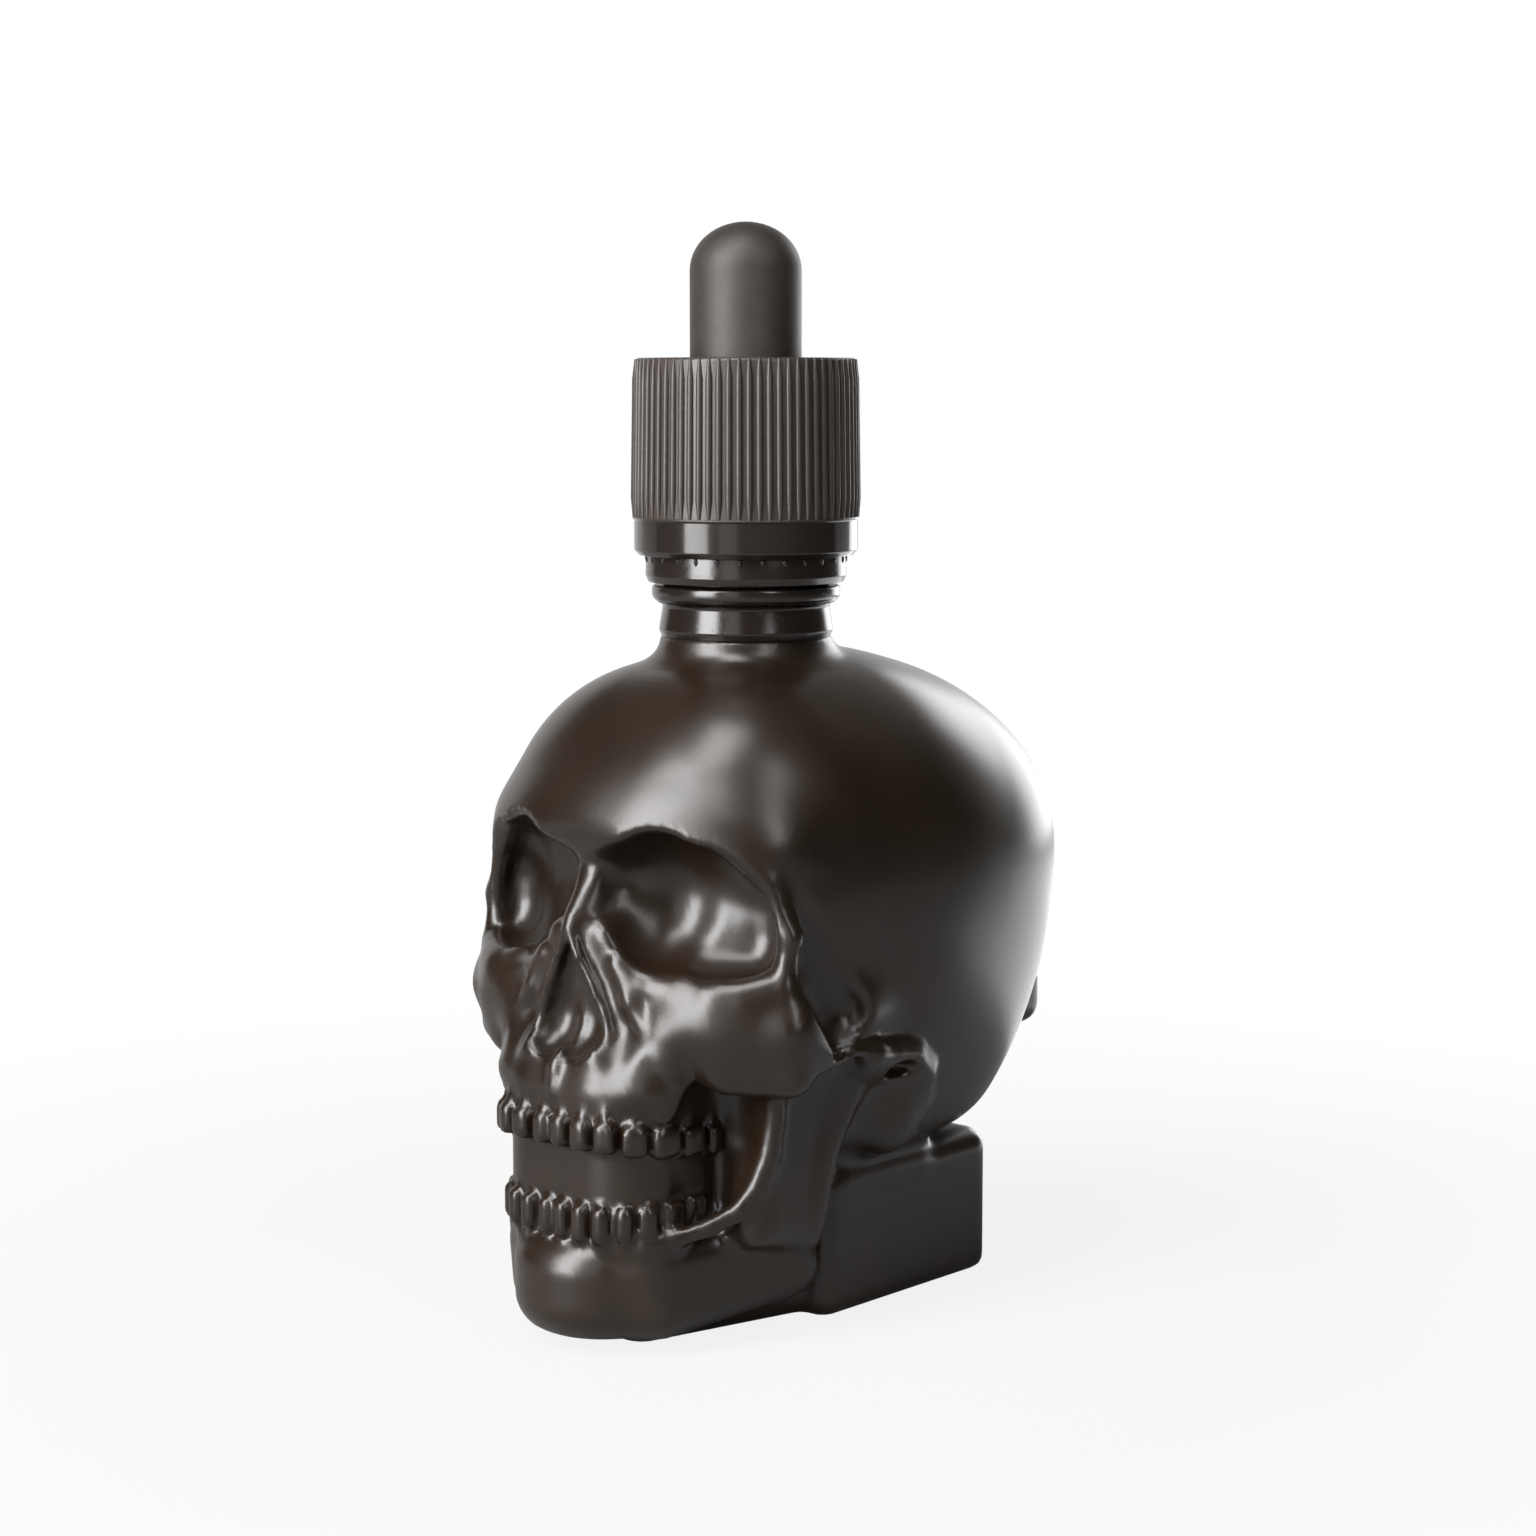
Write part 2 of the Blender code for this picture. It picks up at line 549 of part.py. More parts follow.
def add_object(name, points, faces):
    mesh = bpy.data.meshes.new(name)
    mesh.from_pydata([Vector(p) * MM for p in points], [], [tuple(int(i) for i in f) for f in faces])
    mesh.validate()
    piece = bpy.data.objects.new(name, mesh)
    bpy.context.scene.collection.objects.link(piece)
    return piece


def made(name, work):
    """A piece from a finished bmesh."""
    bmesh.ops.recalc_face_normals(work, faces=work.faces[:])
    mesh = bpy.data.meshes.new(name)
    work.to_mesh(mesh)
    work.free()
    piece = bpy.data.objects.new(name, mesh)
    bpy.context.scene.collection.objects.link(piece)
    return piece


def thinned(piece, triangles):
    """Reduce a mesh to about this many triangles, keeping its form."""
    reduce = piece.modifiers.new("Thin", "DECIMATE")
    faces = sum(len(p.vertices) - 2 for p in piece.data.polygons)
    reduce.ratio = min(1.0, triangles / faces)
    settle(piece)


def settle(piece):
    """Turn a piece's modifiers into its mesh."""
    graph = bpy.context.evaluated_depsgraph_get()
    mesh = bpy.data.meshes.new_from_object(piece.evaluated_get(graph))
    piece.modifiers.clear()
    piece.data = mesh


def combine(piece, other, operation):
    """Join, or cut, one piece by another, which is then removed."""
    step = piece.modifiers.new(operation.title(), "BOOLEAN")
    step.operation = operation
    step.solver = "EXACT"
    step.object = other
    settle(piece)
    bpy.data.objects.remove(other, do_unlink=True)


def corner(r, z, fillet=0.0):
    """A profile's corner, with the radius it is rounded by."""
    return r, z, fillet


def rounded_profile(corners, steps=2):
    """Points of a closed profile, each rounded corner as a short arc of straight steps."""
    points = []
    count = len(corners)
    for i, (r, z, fillet) in enumerate(corners):
        here = np.array((r, z))
        if fillet <= 0:
            points.append(here)
            continue
        before = np.array(corners[i - 1][:2]) - here
        after = np.array(corners[(i + 1) % count][:2]) - here
        before, after = before / np.linalg.norm(before), after / np.linalg.norm(after)
        half = math.acos(float(np.clip(before @ after, -1, 1))) / 2
        reach = fillet / math.tan(half)
        centre = here + (before + after) / np.linalg.norm(before + after) * fillet / math.sin(half)
        first, last = here + before * reach - centre, here + after * reach - centre
        for k in range(steps + 1):
            mix = first * (1 - k / steps) + last * (k / steps)
            points.append(centre + mix / np.linalg.norm(mix) * fillet)
    return points


def turned_piece(name, corners, segments=SEGMENTS, steps=2):
    """A solid turned about the Z axis. Its profile runs down the outer side and back up the inner one."""
    work = bmesh.new()
    verts = [work.verts.new((r * MM, 0, z * MM)) for r, z in rounded_profile(corners, steps)]
    edges = [work.edges.new((verts[i - 1], verts[i])) for i in range(len(verts))]
    bmesh.ops.spin(work, geom=verts + edges, cent=(0, 0, 0), axis=(0, 0, 1), angle=math.tau,
                   steps=segments, use_merge=True)
    bmesh.ops.remove_doubles(work, verts=work.verts[:], dist=1e-6)
    loose = [e for e in work.edges if not e.link_faces]
    bmesh.ops.delete(work, geom=loose, context="EDGES")
    return made(name, work)


def lug(angle, z_low, z_high, steps=2):
    """A driving lug: a short sector of a ring, centred on an angle about the Z axis."""
    work = bmesh.new()
    plan = []
    inner_r, outer_r = BULB_HOLE_R + LUG_INSET, INNER_CAP_R - LUG_INSET
    for r, order in ((outer_r, range(steps + 1)), (inner_r, reversed(range(steps + 1)))):
        for k in order:
            turn = math.radians(angle + LUG_ANGLE * (k / steps - 0.5))
            plan.append((r * math.cos(turn) * MM, r * math.sin(turn) * MM, z_low * MM))
    face = work.faces.new([work.verts.new(p) for p in plan])
    top = bmesh.ops.extrude_face_region(work, geom=[face])["geom"]
    rise = [g for g in top if isinstance(g, bmesh.types.BMVert)]
    bmesh.ops.translate(work, verts=rise, vec=(0, 0, (z_high - z_low) * MM))
    return made("lug", work)


def finish(piece, colour, roughness, metallic=0.0, alpha=1.0, smooth_angle=40):
    """Material and shading of a finished piece."""
    material = bpy.data.materials.new(piece.name + "_material")
    material.use_nodes = True
    shader = material.node_tree.nodes["Principled BSDF"]
    shader.inputs["Base Color"].default_value = (*colour, 1.0)
    shader.inputs["Roughness"].default_value = roughness
    shader.inputs["Metallic"].default_value = metallic
    shader.inputs["Alpha"].default_value = alpha
    piece.data.materials.clear()
    piece.data.materials.append(material)
    piece.data.shade_smooth()
    piece.data.set_sharp_from_angle(angle=math.radians(smooth_angle))


def neck_profile():
    """Outer side of the neck: rim, plain finish, retaining bead, groove, collar and the neck's flare."""
    collar_low = COLLAR_TOP_Z - COLLAR_HEIGHT
    bead_low = BEAD_TOP_Z - BEAD_HEIGHT
    deep = CROWN_Z - NECK_FOOT_DEPTH
    return [
        corner(0, RIM_Z),
        corner(NECK_ROOT_R, RIM_Z, 0.6),
        corner(NECK_ROOT_R, BEAD_TOP_Z + 0.6),
        corner(BEAD_R, BEAD_TOP_Z, 0.3),
        corner(BEAD_R, bead_low),
        corner(NECK_TOP_R - 0.1, bead_low),
        corner(NECK_TOP_R - 0.1, COLLAR_TOP_Z),
        corner(COLLAR_R, COLLAR_TOP_Z),
        corner(COLLAR_R, collar_low, 0.9),
        corner(NECK_TOP_R, collar_low),
        corner(NECK_LOW_R, CROWN_Z + 1.5),
        corner(NECK_LOW_R - 0.25, CROWN_Z + 0.9),
        corner(NECK_LOW_R - 0.2, deep),
        corner(0, deep),
    ]


def make_bottle():
    """The glass: skull with its neck, hollow and open through the bore."""
    outer = skull_field(SKULL_GRID_STEP)
    points, quads = polygonise(closed_signs(mirrored(outer)))
    bottle = add_object("bottle", points * SKULL_SIZE, quads)
    thinned(bottle, SKULL_TRIANGLES)
    cut_flat_base(bottle.data)
    combine(bottle, turned_piece("neck", neck_profile()), "UNION")
    coarse = skull_field(CAVITY_GRID_STEP)
    points, quads = polygonise(closed_signs(mirrored(cavity_field(CAVITY_GRID_STEP, coarse))))
    cavity = add_object("cavity", points * SKULL_SIZE, quads)
    thinned(cavity, CAVITY_TRIANGLES)
    combine(bottle, cavity, "DIFFERENCE")
    bore_high, bore_low = RIM_Z + 4, CROWN_HEIGHT - NECK_BORE_DEPTH
    bore = turned_piece("bore", [corner(0, bore_high), corner(NECK_BORE_R, bore_high),
                                 corner(NECK_BORE_R, bore_low), corner(0, bore_low)], segments=32)
    combine(bottle, bore, "DIFFERENCE")
    finish(bottle, (0.012, 0.011, 0.010), 0.34)
    return bottle


def make_tamper_band():
    """Ring left on the neck: a plain band with a lip that hooks under the glass bead."""
    low = COLLAR_TOP_Z + CLEARANCE
    high = low + TAMPER_HEIGHT
    hook = NECK_TOP_R - 0.1 + CLEARANCE
    lip = BEAD_TOP_Z - BEAD_HEIGHT - CLEARANCE
    band = turned_piece("tamper_band", [
        corner(INNER_CAP_R - TAMPER_TAPER, high),
        corner(INNER_CAP_R, low + 0.5),
        corner(INNER_CAP_R - TAMPER_CHAMFER, low),
        corner(hook, low),
        corner(hook, lip - 0.2),
        corner(BEAD_R + CLEARANCE, lip + 0.2),
        corner(BEAD_R + CLEARANCE, high),
    ])
    finish(band, (0.012, 0.011, 0.010), 0.15)
    return band


def make_inner_cap():
    """Threaded cap under the shell, with its ring of driving lugs."""
    low = COLLAR_TOP_Z + TAMPER_HEIGHT + 2 * CLEARANCE
    bore = INNER_CAP_R - INNER_WALL
    groove_high = PANEL_TOP_Z - SNAP_DROP
    groove_low = groove_high - PRESS_TRAVEL - SNAP_BEAD_HEIGHT - 2 * CLEARANCE
    cap = turned_piece("inner_cap", [
        corner(INNER_CAP_R, PANEL_TOP_Z),
        corner(INNER_CAP_R, groove_high),
        corner(INNER_CAP_R - SNAP_DEPTH, groove_high),
        corner(INNER_CAP_R - SNAP_DEPTH, groove_low),
        corner(INNER_CAP_R, groove_low),
        corner(INNER_CAP_R, low),
        corner(bore, low),
        corner(bore, PANEL_TOP_Z - PANEL_THICKNESS),
        corner(BULB_HOLE_R, PANEL_TOP_Z - PANEL_THICKNESS),
        corner(BULB_HOLE_R, PANEL_TOP_Z),
    ])
    for i in range(LUG_COUNT):
        combine(cap, lug(360 / LUG_COUNT * i, PANEL_TOP_Z - LUG_SINK, PANEL_TOP_Z + LUG_HEIGHT), "UNION")
    finish(cap, (0.02, 0.02, 0.02), 0.4)
    return cap


def ribbed_body():
    """Outer form of the shell: ribs above a plain band, with chamfered edges."""
    band_top = SHELL_LOW_Z + SHELL_BAND_HEIGHT
    rows = (
        (SHELL_TOP_Z, RIB_TOP_R - SHELL_TOP_CHAMFER, 0.0),
        (SHELL_TOP_Z - SHELL_TOP_CHAMFER, RIB_TOP_R, RIB_DEPTH),
        (band_top + 0.4, RIB_BOTTOM_R, RIB_DEPTH),
        (band_top, SHELL_BAND_R, 0.0),
        (SHELL_LOW_Z + SHELL_FOOT_CHAMFER, SHELL_BAND_R, 0.0),
        (SHELL_LOW_Z, SHELL_BAND_R - SHELL_FOOT_CHAMFER, 0.0),
    )
    work = bmesh.new()
    rings = []
    for z, crest, depth in rows:
        ring = []
        for i in range(RIB_COUNT):
            for share, drop in ((0.0, 0.0), (0.5, 1.0)):
                turn = math.tau * (i + share) / RIB_COUNT
                r = crest - depth * drop
                ring.append(work.verts.new((r * math.cos(turn) * MM, r * math.sin(turn) * MM, z * MM)))
        rings.append(ring)
    for upper, lower in zip(rings, rings[1:]):
        for i in range(len(upper)):
            work.faces.new((upper[i - 1], lower[i - 1], lower[i], upper[i]))
    work.faces.new(rings[0])
    work.faces.new(rings[-1][::-1])
    return made("outer_cap", work)


def make_outer_cap():
    """Ribbed shell: hole for the bulb, lugs under its top and a bead that snaps into the inner cap."""
    shell = ribbed_body()
    under = SHELL_TOP_Z - SHELL_TOP_THICKNESS
    bead_high = PANEL_TOP_Z - SNAP_DROP - CLEARANCE
    bead_low = bead_high - SNAP_BEAD_HEIGHT
    bead_r = SHELL_INNER_R - SNAP_DEPTH
    above, below = SHELL_TOP_Z + 3, SHELL_LOW_Z - 3
    space = turned_piece("space", [
        corner(BULB_HOLE_R, above),
        corner(BULB_HOLE_R, under),
        corner(SHELL_INNER_R, under),
        corner(SHELL_INNER_R, bead_high + 0.2),
        corner(bead_r, bead_high - 0.15),
        corner(bead_r, bead_low + 0.3),
        corner(SHELL_INNER_R, bead_low),
        corner(SHELL_INNER_R, below),
        corner(0, below),
        corner(0, above),
    ])
    combine(shell, space, "DIFFERENCE")
    for i in range(LUG_COUNT):
        combine(shell, lug(360 / LUG_COUNT * (i + 0.5), under - LUG_HEIGHT, under + LUG_SINK), "UNION")
    finish(shell, (0.014, 0.013, 0.012), 0.3, smooth_angle=25)
    return shell


def dome(r, height, top_z, steps=6):
    """Upper quarter of an oval, from the axis out to its full radius."""
    turns = [math.pi / 2 * k / steps for k in range(steps + 1)]
    return [corner(r * math.sin(turn), top_z - height + height * math.cos(turn)) for turn in turns]


def make_bulb():
    """Squeeze bulb: closed dome, straight sides, a lip round the pipette and the sealing flange."""
    top = SHELL_TOP_Z + BULB_HEIGHT
    flange_low = RIM_Z + CLEARANCE
    flange_high = flange_low + FLANGE_THICKNESS
    lip_r = PIPETTE_R + CLEARANCE
    lip_top = flange_low + BULB_LIP
    hollow_r = BULB_R - BULB_WALL
    inside = dome(hollow_r, BULB_DOME - BULB_WALL, top - BULB_WALL, steps=4)[::-1]
    bulb = turned_piece("bulb", dome(BULB_R, BULB_DOME, top) + [
        corner(BULB_R, flange_high),
        corner(FLANGE_R, flange_high),
        corner(FLANGE_R, flange_low),
        corner(lip_r, flange_low),
        corner(lip_r, lip_top),
        corner(hollow_r, lip_top),
    ] + inside, segments=32)
    finish(bulb, (0.016, 0.015, 0.014), 0.55)
    return bulb


def make_pipette():
    """Glass tube: flared head above the bulb's lip, straight barrel and a drawn tip."""
    head = RIM_Z + CLEARANCE + BULB_LIP + CLEARANCE
    top = head + PIPETTE_FLARE_HEIGHT
    bore = PIPETTE_R - PIPETTE_WALL
    tip_bore = PIPETTE_TIP_R - PIPETTE_TIP_WALL
    shoulder = PIPETTE_TIP_Z + PIPETTE_TAPER
    pipette = turned_piece("pipette", [
        corner(PIPETTE_FLARE_R, top),
        corner(PIPETTE_FLARE_R, head),
        corner(PIPETTE_R, head),
        corner(PIPETTE_R, shoulder, 6.0),
        corner(PIPETTE_TIP_R, PIPETTE_TIP_Z),
        corner(tip_bore, PIPETTE_TIP_Z),
        corner(bore, shoulder, 6.0),
        corner(bore, top),
    ], segments=24)
    finish(pipette, (0.9, 0.92, 0.92), 0.03, alpha=0.35)
    return pipette


def main():
    clear_scene()
    make_bottle()
    make_tamper_band()
    make_inner_cap()
    make_outer_cap()
    make_bulb()
    make_pipette()


main()
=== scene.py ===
"""Looks of the skull dropper bottle: fine meshes, finishes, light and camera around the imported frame.

Sizes are in millimetres in the functions that shape a piece, and become metres where its mesh is made.
+Z is up, the base stands on z = 0, the neck's axis is the Z axis and the face looks to -Y.
"""

import math
from collections import namedtuple

import bmesh
import bpy
import numpy as np
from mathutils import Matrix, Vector


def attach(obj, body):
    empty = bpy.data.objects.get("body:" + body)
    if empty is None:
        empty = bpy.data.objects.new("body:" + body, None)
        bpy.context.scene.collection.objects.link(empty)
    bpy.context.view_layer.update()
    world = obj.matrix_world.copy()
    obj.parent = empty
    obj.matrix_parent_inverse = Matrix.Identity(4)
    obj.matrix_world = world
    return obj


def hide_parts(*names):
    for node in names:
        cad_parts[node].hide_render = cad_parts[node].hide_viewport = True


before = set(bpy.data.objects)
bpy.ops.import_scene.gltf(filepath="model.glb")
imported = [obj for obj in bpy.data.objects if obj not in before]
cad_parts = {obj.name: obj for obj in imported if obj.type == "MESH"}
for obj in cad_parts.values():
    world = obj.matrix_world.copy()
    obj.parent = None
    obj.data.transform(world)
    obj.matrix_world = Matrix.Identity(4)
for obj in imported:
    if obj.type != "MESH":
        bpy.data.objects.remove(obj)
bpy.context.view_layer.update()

MM = 0.001

# Skull. The main sizes are the part's; some bone forms were measured again for the looks.
CROWN_HEIGHT = 63.4
CRANIUM_CENTRE = (0, 7.2, 42.5)
CRANIUM_RADII = (23.4, 31.4, CROWN_HEIGHT - CRANIUM_CENTRE[2])
CRANIUM_UNDER_DEPTH = 37.0
CHEEK_HALF_WIDTH = 22.4
FACE_FRONT_Y = -28.1
SKULL_SIZE = np.array((1.018, 1.018, 1.033))
GLASS_WALL = 2.6
GLASS_BASE = 3.4
CAVITY_UNDER_DEPTH = 26.0
CROWN_Z = CROWN_HEIGHT * float(SKULL_SIZE[2])
BASE_ROUNDING = 1.6
BASE_FIELD_Z = -0.05
CREASE_DEGREES = 60

# Rows of teeth, which keep the first tooth's height over a share of their length.
ROW_CORNER_R = 6.6
TOOTH_GAP = 0.33
TOOTH_HALF_DEPTH = 1.3
LEVEL_TEETH = 0.35

# Grid that the skull's field is sampled on, and the softness of joins in it.
SKULL_FIELD_STEP = 0.45
CAVITY_FIELD_STEP = 1.2
FIELD_MARGIN = 3.0
FAR_OUTSIDE = 1e3
CLOSING_ROUNDS = 6
CLOSING_DEPTH = 0.05
RIDGE_BLEND = 0.3
PLANE_BLEND = 1.2
PILLAR_ROUNDING = 0.35

# Neck finish. Radii follow the root of the thread and heights follow the crown.
NECK_ROOT_R = 7.95
NECK_BORE_R = NECK_ROOT_R - 1.95
NECK_BORE_DEPTH = 12.0
NECK_LOW_R = NECK_ROOT_R + 0.8
NECK_TOP_R = NECK_ROOT_R + 0.35
NECK_GROOVE_R = NECK_TOP_R - 0.1
NECK_STUB_R = NECK_ROOT_R + 0.6
NECK_STUB_TOP_Z = CROWN_Z + 1.8
NECK_FILLET = 2.6
COLLAR_R = NECK_ROOT_R + 1.5
COLLAR_TOP_Z = CROWN_Z + 6.8
COLLAR_HEIGHT = 1.7
BEAD_R = NECK_ROOT_R + 1.05
BEAD_TOP_Z = COLLAR_TOP_Z + 2.9
BEAD_HEIGHT = 1.2
RIM_Z = COLLAR_TOP_Z + 15.4
THREAD_PITCH = 3.175
THREAD_TURNS = 2.0
THREAD_RISE = THREAD_PITCH * THREAD_TURNS
THREAD_LOW_Z = RIM_Z - 2.0 - THREAD_RISE

# Closure, from the glass bead outwards and from the rim up and down.
CLEARANCE = 0.3
BAND_WALL = 0.85
INNER_CAP_R = BEAD_R + CLEARANCE + BAND_WALL
INNER_WALL = 1.0
SHELL_INNER_R = INNER_CAP_R + CLEARANCE
SHELL_WALL = 0.77
SHELL_BAND_R = SHELL_INNER_R + SHELL_WALL
SHELL_BAND_HEIGHT = 3.6
SHELL_TOP_Z = RIM_Z + 7.1
SHELL_LOW_Z = BEAD_TOP_Z + 0.1
SHELL_BAND_TOP_Z = SHELL_LOW_Z + SHELL_BAND_HEIGHT
SHELL_TOP_THICKNESS = 1.3
RIB_COUNT = 70
RIB_BOTTOM_R = SHELL_BAND_R + 0.33
RIB_TOP_R = SHELL_BAND_R + 0.08
RIB_DEPTH = 0.35
RIB_R = 0.36
PRESS_TRAVEL = 1.2
LUG_COUNT = 8
LUG_HEIGHT = 1.2
LUG_ANGLE = 16.0
LUG_INSET = 0.9
LUG_SINK = 0.4
PANEL_THICKNESS = 1.2
SNAP_DEPTH = 0.43
SNAP_DROP = 7.6
SNAP_BEAD_HEIGHT = 1.0
TAMPER_HEIGHT = 3.1
TAMPER_TAPER = 0.15
TAMPER_NUBS = 28

# Dropper.
BULB_R = 5.57
BULB_HEIGHT = 13.4
BULB_DOME = 4.8
BULB_WALL = 1.15
BULB_LIP = 5.0
FLANGE_R = NECK_ROOT_R + 0.65
FLANGE_THICKNESS = 1.3
PIPETTE_R = 3.5
PIPETTE_WALL = 0.9
PIPETTE_TIP_R = 1.5
PIPETTE_TIP_WALL = 0.55
PIPETTE_TAPER = 9.0
PIPETTE_FLARE_R = 4.1
PIPETTE_FLARE_HEIGHT = 1.0
PIPETTE_TIP_Z = 12.5
BULB_HOLE_R = BULB_R + CLEARANCE
PANEL_TOP_Z = RIM_Z + FLANGE_THICKNESS + 2 * CLEARANCE + PANEL_THICKNESS

# Straight steps in a rounded corner, across a lug and up a dome.
ARC_STEPS = 5
LUG_STEPS = 4
DOME_STEPS = 14


def smooth_min(a, b, blend):
    """Join two distances with a fillet about as wide as the blend."""
    if blend <= 0:
        return np.minimum(a, b)
    h = np.maximum(blend - np.abs(a - b), 0.0) / blend
    return np.minimum(a, b) - h * h * blend * 0.25


def smooth_max(a, b, blend):
    """Overlap of two distances, its edges rounded by the blend."""
    return -smooth_min(-a, -b, blend)


def overlap(a, b):
    """Distance to the overlap of two bounds that meet at a right angle."""
    return np.hypot(np.maximum(a, 0), np.maximum(b, 0)) + np.minimum(np.maximum(a, b), 0)


def cos_sin(degrees):
    angle = math.radians(degrees)
    return math.cos(angle), math.sin(angle)


# One shape: a signed distance and the box outside which it has no effect.
Form = namedtuple("Form", "distance low high")

# Corners of a grid cell.
CELL = [(x, y, z) for x in (0, 1) for y in (0, 1) for z in (0, 1)]


def turned(x, y, z, centre, yaw, pitch=0.0):
    """Coordinates in a frame at the centre, turned about Z by yaw and then tipped about X by pitch."""
    x, y, z = x - centre[0], y - centre[1], z - centre[2]
    c, s = cos_sin(yaw)
    x, y = c * x + s * y, c * y - s * x
    c, s = cos_sin(pitch)
    y, z = c * y + s * z, c * z - s * y
    return x, y, z


def ball(centre, radii, below=None, yaw=0.0):
    """An ellipsoid, with another radius under its equator where one is given."""
    a, b, c = radii
    low_c = below or c

    def distance(x, y, z):
        x, y, z = turned(x, y, z, centre, yaw)
        rz = np.where(z < 0, low_c, c)
        k0, k1 = (np.sqrt((x / a**n) ** 2 + (y / b**n) ** 2 + (z / rz**n) ** 2) for n in (1, 2))
        return k0 * (k0 - 1.0) / np.maximum(k1, 1e-6)

    reach = max(a, b, c, low_c) if yaw else 0
    spread = np.maximum(np.array([a, b, max(c, low_c)]), reach)
    return Form(distance, np.array(centre) - spread, np.array(centre) + spread)


def slab(centre, half, rounding, yaw=0.0, pitch=0.0):
    """A block with rounded edges."""

    def distance(x, y, z):
        place = turned(x, y, z, centre, yaw, pitch)
        qx, qy, qz = (np.abs(v) - (h - rounding) for v, h in zip(place, half))
        outside = np.sqrt(sum(np.maximum(q, 0) ** 2 for q in (qx, qy, qz)))
        return outside + np.minimum(np.maximum(np.maximum(qx, qy), qz), 0) - rounding

    reach = np.linalg.norm(half) if (yaw or pitch) else 0
    spread = np.maximum(np.array(half, float), reach)
    return Form(distance, np.array(centre) - spread, np.array(centre) + spread)


def rod(start, end, r_start, r_end):
    """A straight ridge with round ends that tapers from one radius to the other."""
    a, b = np.array(start, float), np.array(end, float)
    axis = b - a
    length2 = float(axis @ axis)

    def distance(x, y, z):
        place = (x - a[0], y - a[1], z - a[2])
        t = np.clip(sum(p * w for p, w in zip(place, axis)) / length2, 0.0, 1.0)
        gap = np.sqrt(sum((p - t * w) ** 2 for p, w in zip(place, axis)))
        return gap - (r_start + (r_end - r_start) * t)

    r = max(r_start, r_end)
    return Form(distance, np.minimum(a, b) - r, np.maximum(a, b) + r)


def arch(half_width, front, back, corner, z_low, z_high, rounding):
    """An upright wall of U-shaped outline, as a row of teeth or a jaw stands in."""
    mid_y, half_y = (front + back) / 2, (back - front) / 2
    mid_z, half_z = (z_low + z_high) / 2, (z_high - z_low) / 2

    def distance(x, y, z):
        qx = np.abs(x) - (half_width - corner)
        qy = np.abs(y - mid_y) - (half_y - corner)
        plan = overlap(qx, qy) - corner
        return overlap(plan + rounding, np.abs(z - mid_z) - half_z + rounding) - rounding

    return Form(distance, (-half_width, front, z_low), (half_width, back, z_high))


def pillar(radius, low, high):
    """An upright round bar with softened edges."""
    middle, half = (low + high) / 2, (high - low) / 2

    def distance(x, y, z):
        wall = np.hypot(x, y) - radius + PILLAR_ROUNDING + 0 * z
        return overlap(wall, np.abs(z - middle) - half + PILLAR_ROUNDING + 0 * wall) - PILLAR_ROUNDING

    return Form(distance, (-radius, -radius, low), (radius, radius, high))


def behind(form, y_front):
    """The part of a form that lies behind an upright plane across the head."""

    def distance(x, y, z):
        return smooth_max(form.distance(x, y, z), y_front - y + 0 * z, PLANE_BLEND)

    return Form(distance, form.low, form.high)


def melded(forms, blend):
    """Several forms joined softly into one."""

    def distance(x, y, z):
        total = forms[0].distance(x, y, z)
        for form in forms[1:]:
            total = smooth_min(total, form.distance(x, y, z), blend)
        return total

    return Form(distance, np.min([f.low for f in forms], axis=0), np.max([f.high for f in forms], axis=0))


def ridge(points, radii):
    """A rounded ridge through several points, of one radius or of one at each point."""
    radii = np.broadcast_to(radii, len(points))
    return melded([rod(*pair) for pair in zip(points, points[1:], radii, radii[1:])], RIDGE_BLEND)


class Field:
    """A signed distance sampled on a grid over the skull's left half; the right half mirrors it."""

    def __init__(self, axes, values, step):
        self.axes, self.values, self.step = axes, values, step

    def window(self, form, blend):
        """The part of the grid that a form can change, and the form's distance there."""
        margin = FIELD_MARGIN + blend
        part = tuple(slice(*np.searchsorted(axis, (low - margin, high + margin)))
                     for axis, low, high in zip(self.axes, form.low, form.high))
        x, y, z = np.ix_(*(axis[lines] for axis, lines in zip(self.axes, part)))
        return part, form.distance(np.abs(x), y, z)

    def add(self, form, blend=0.0):
        part, distance = self.window(form, blend)
        self.values[part] = smooth_min(self.values[part], distance, blend)

    def cut(self, form, blend=0.0):
        part, distance = self.window(form, blend)
        self.values[part] = smooth_max(self.values[part], -distance, blend)


def shifted(values, starts):
    """The grid without its last line on an axis that starts at 0, or its first at 1; all of it at None."""
    return values[tuple(slice(None) if start is None else slice(start, count - 1 + start)
                        for start, count in zip(starts, values.shape))]


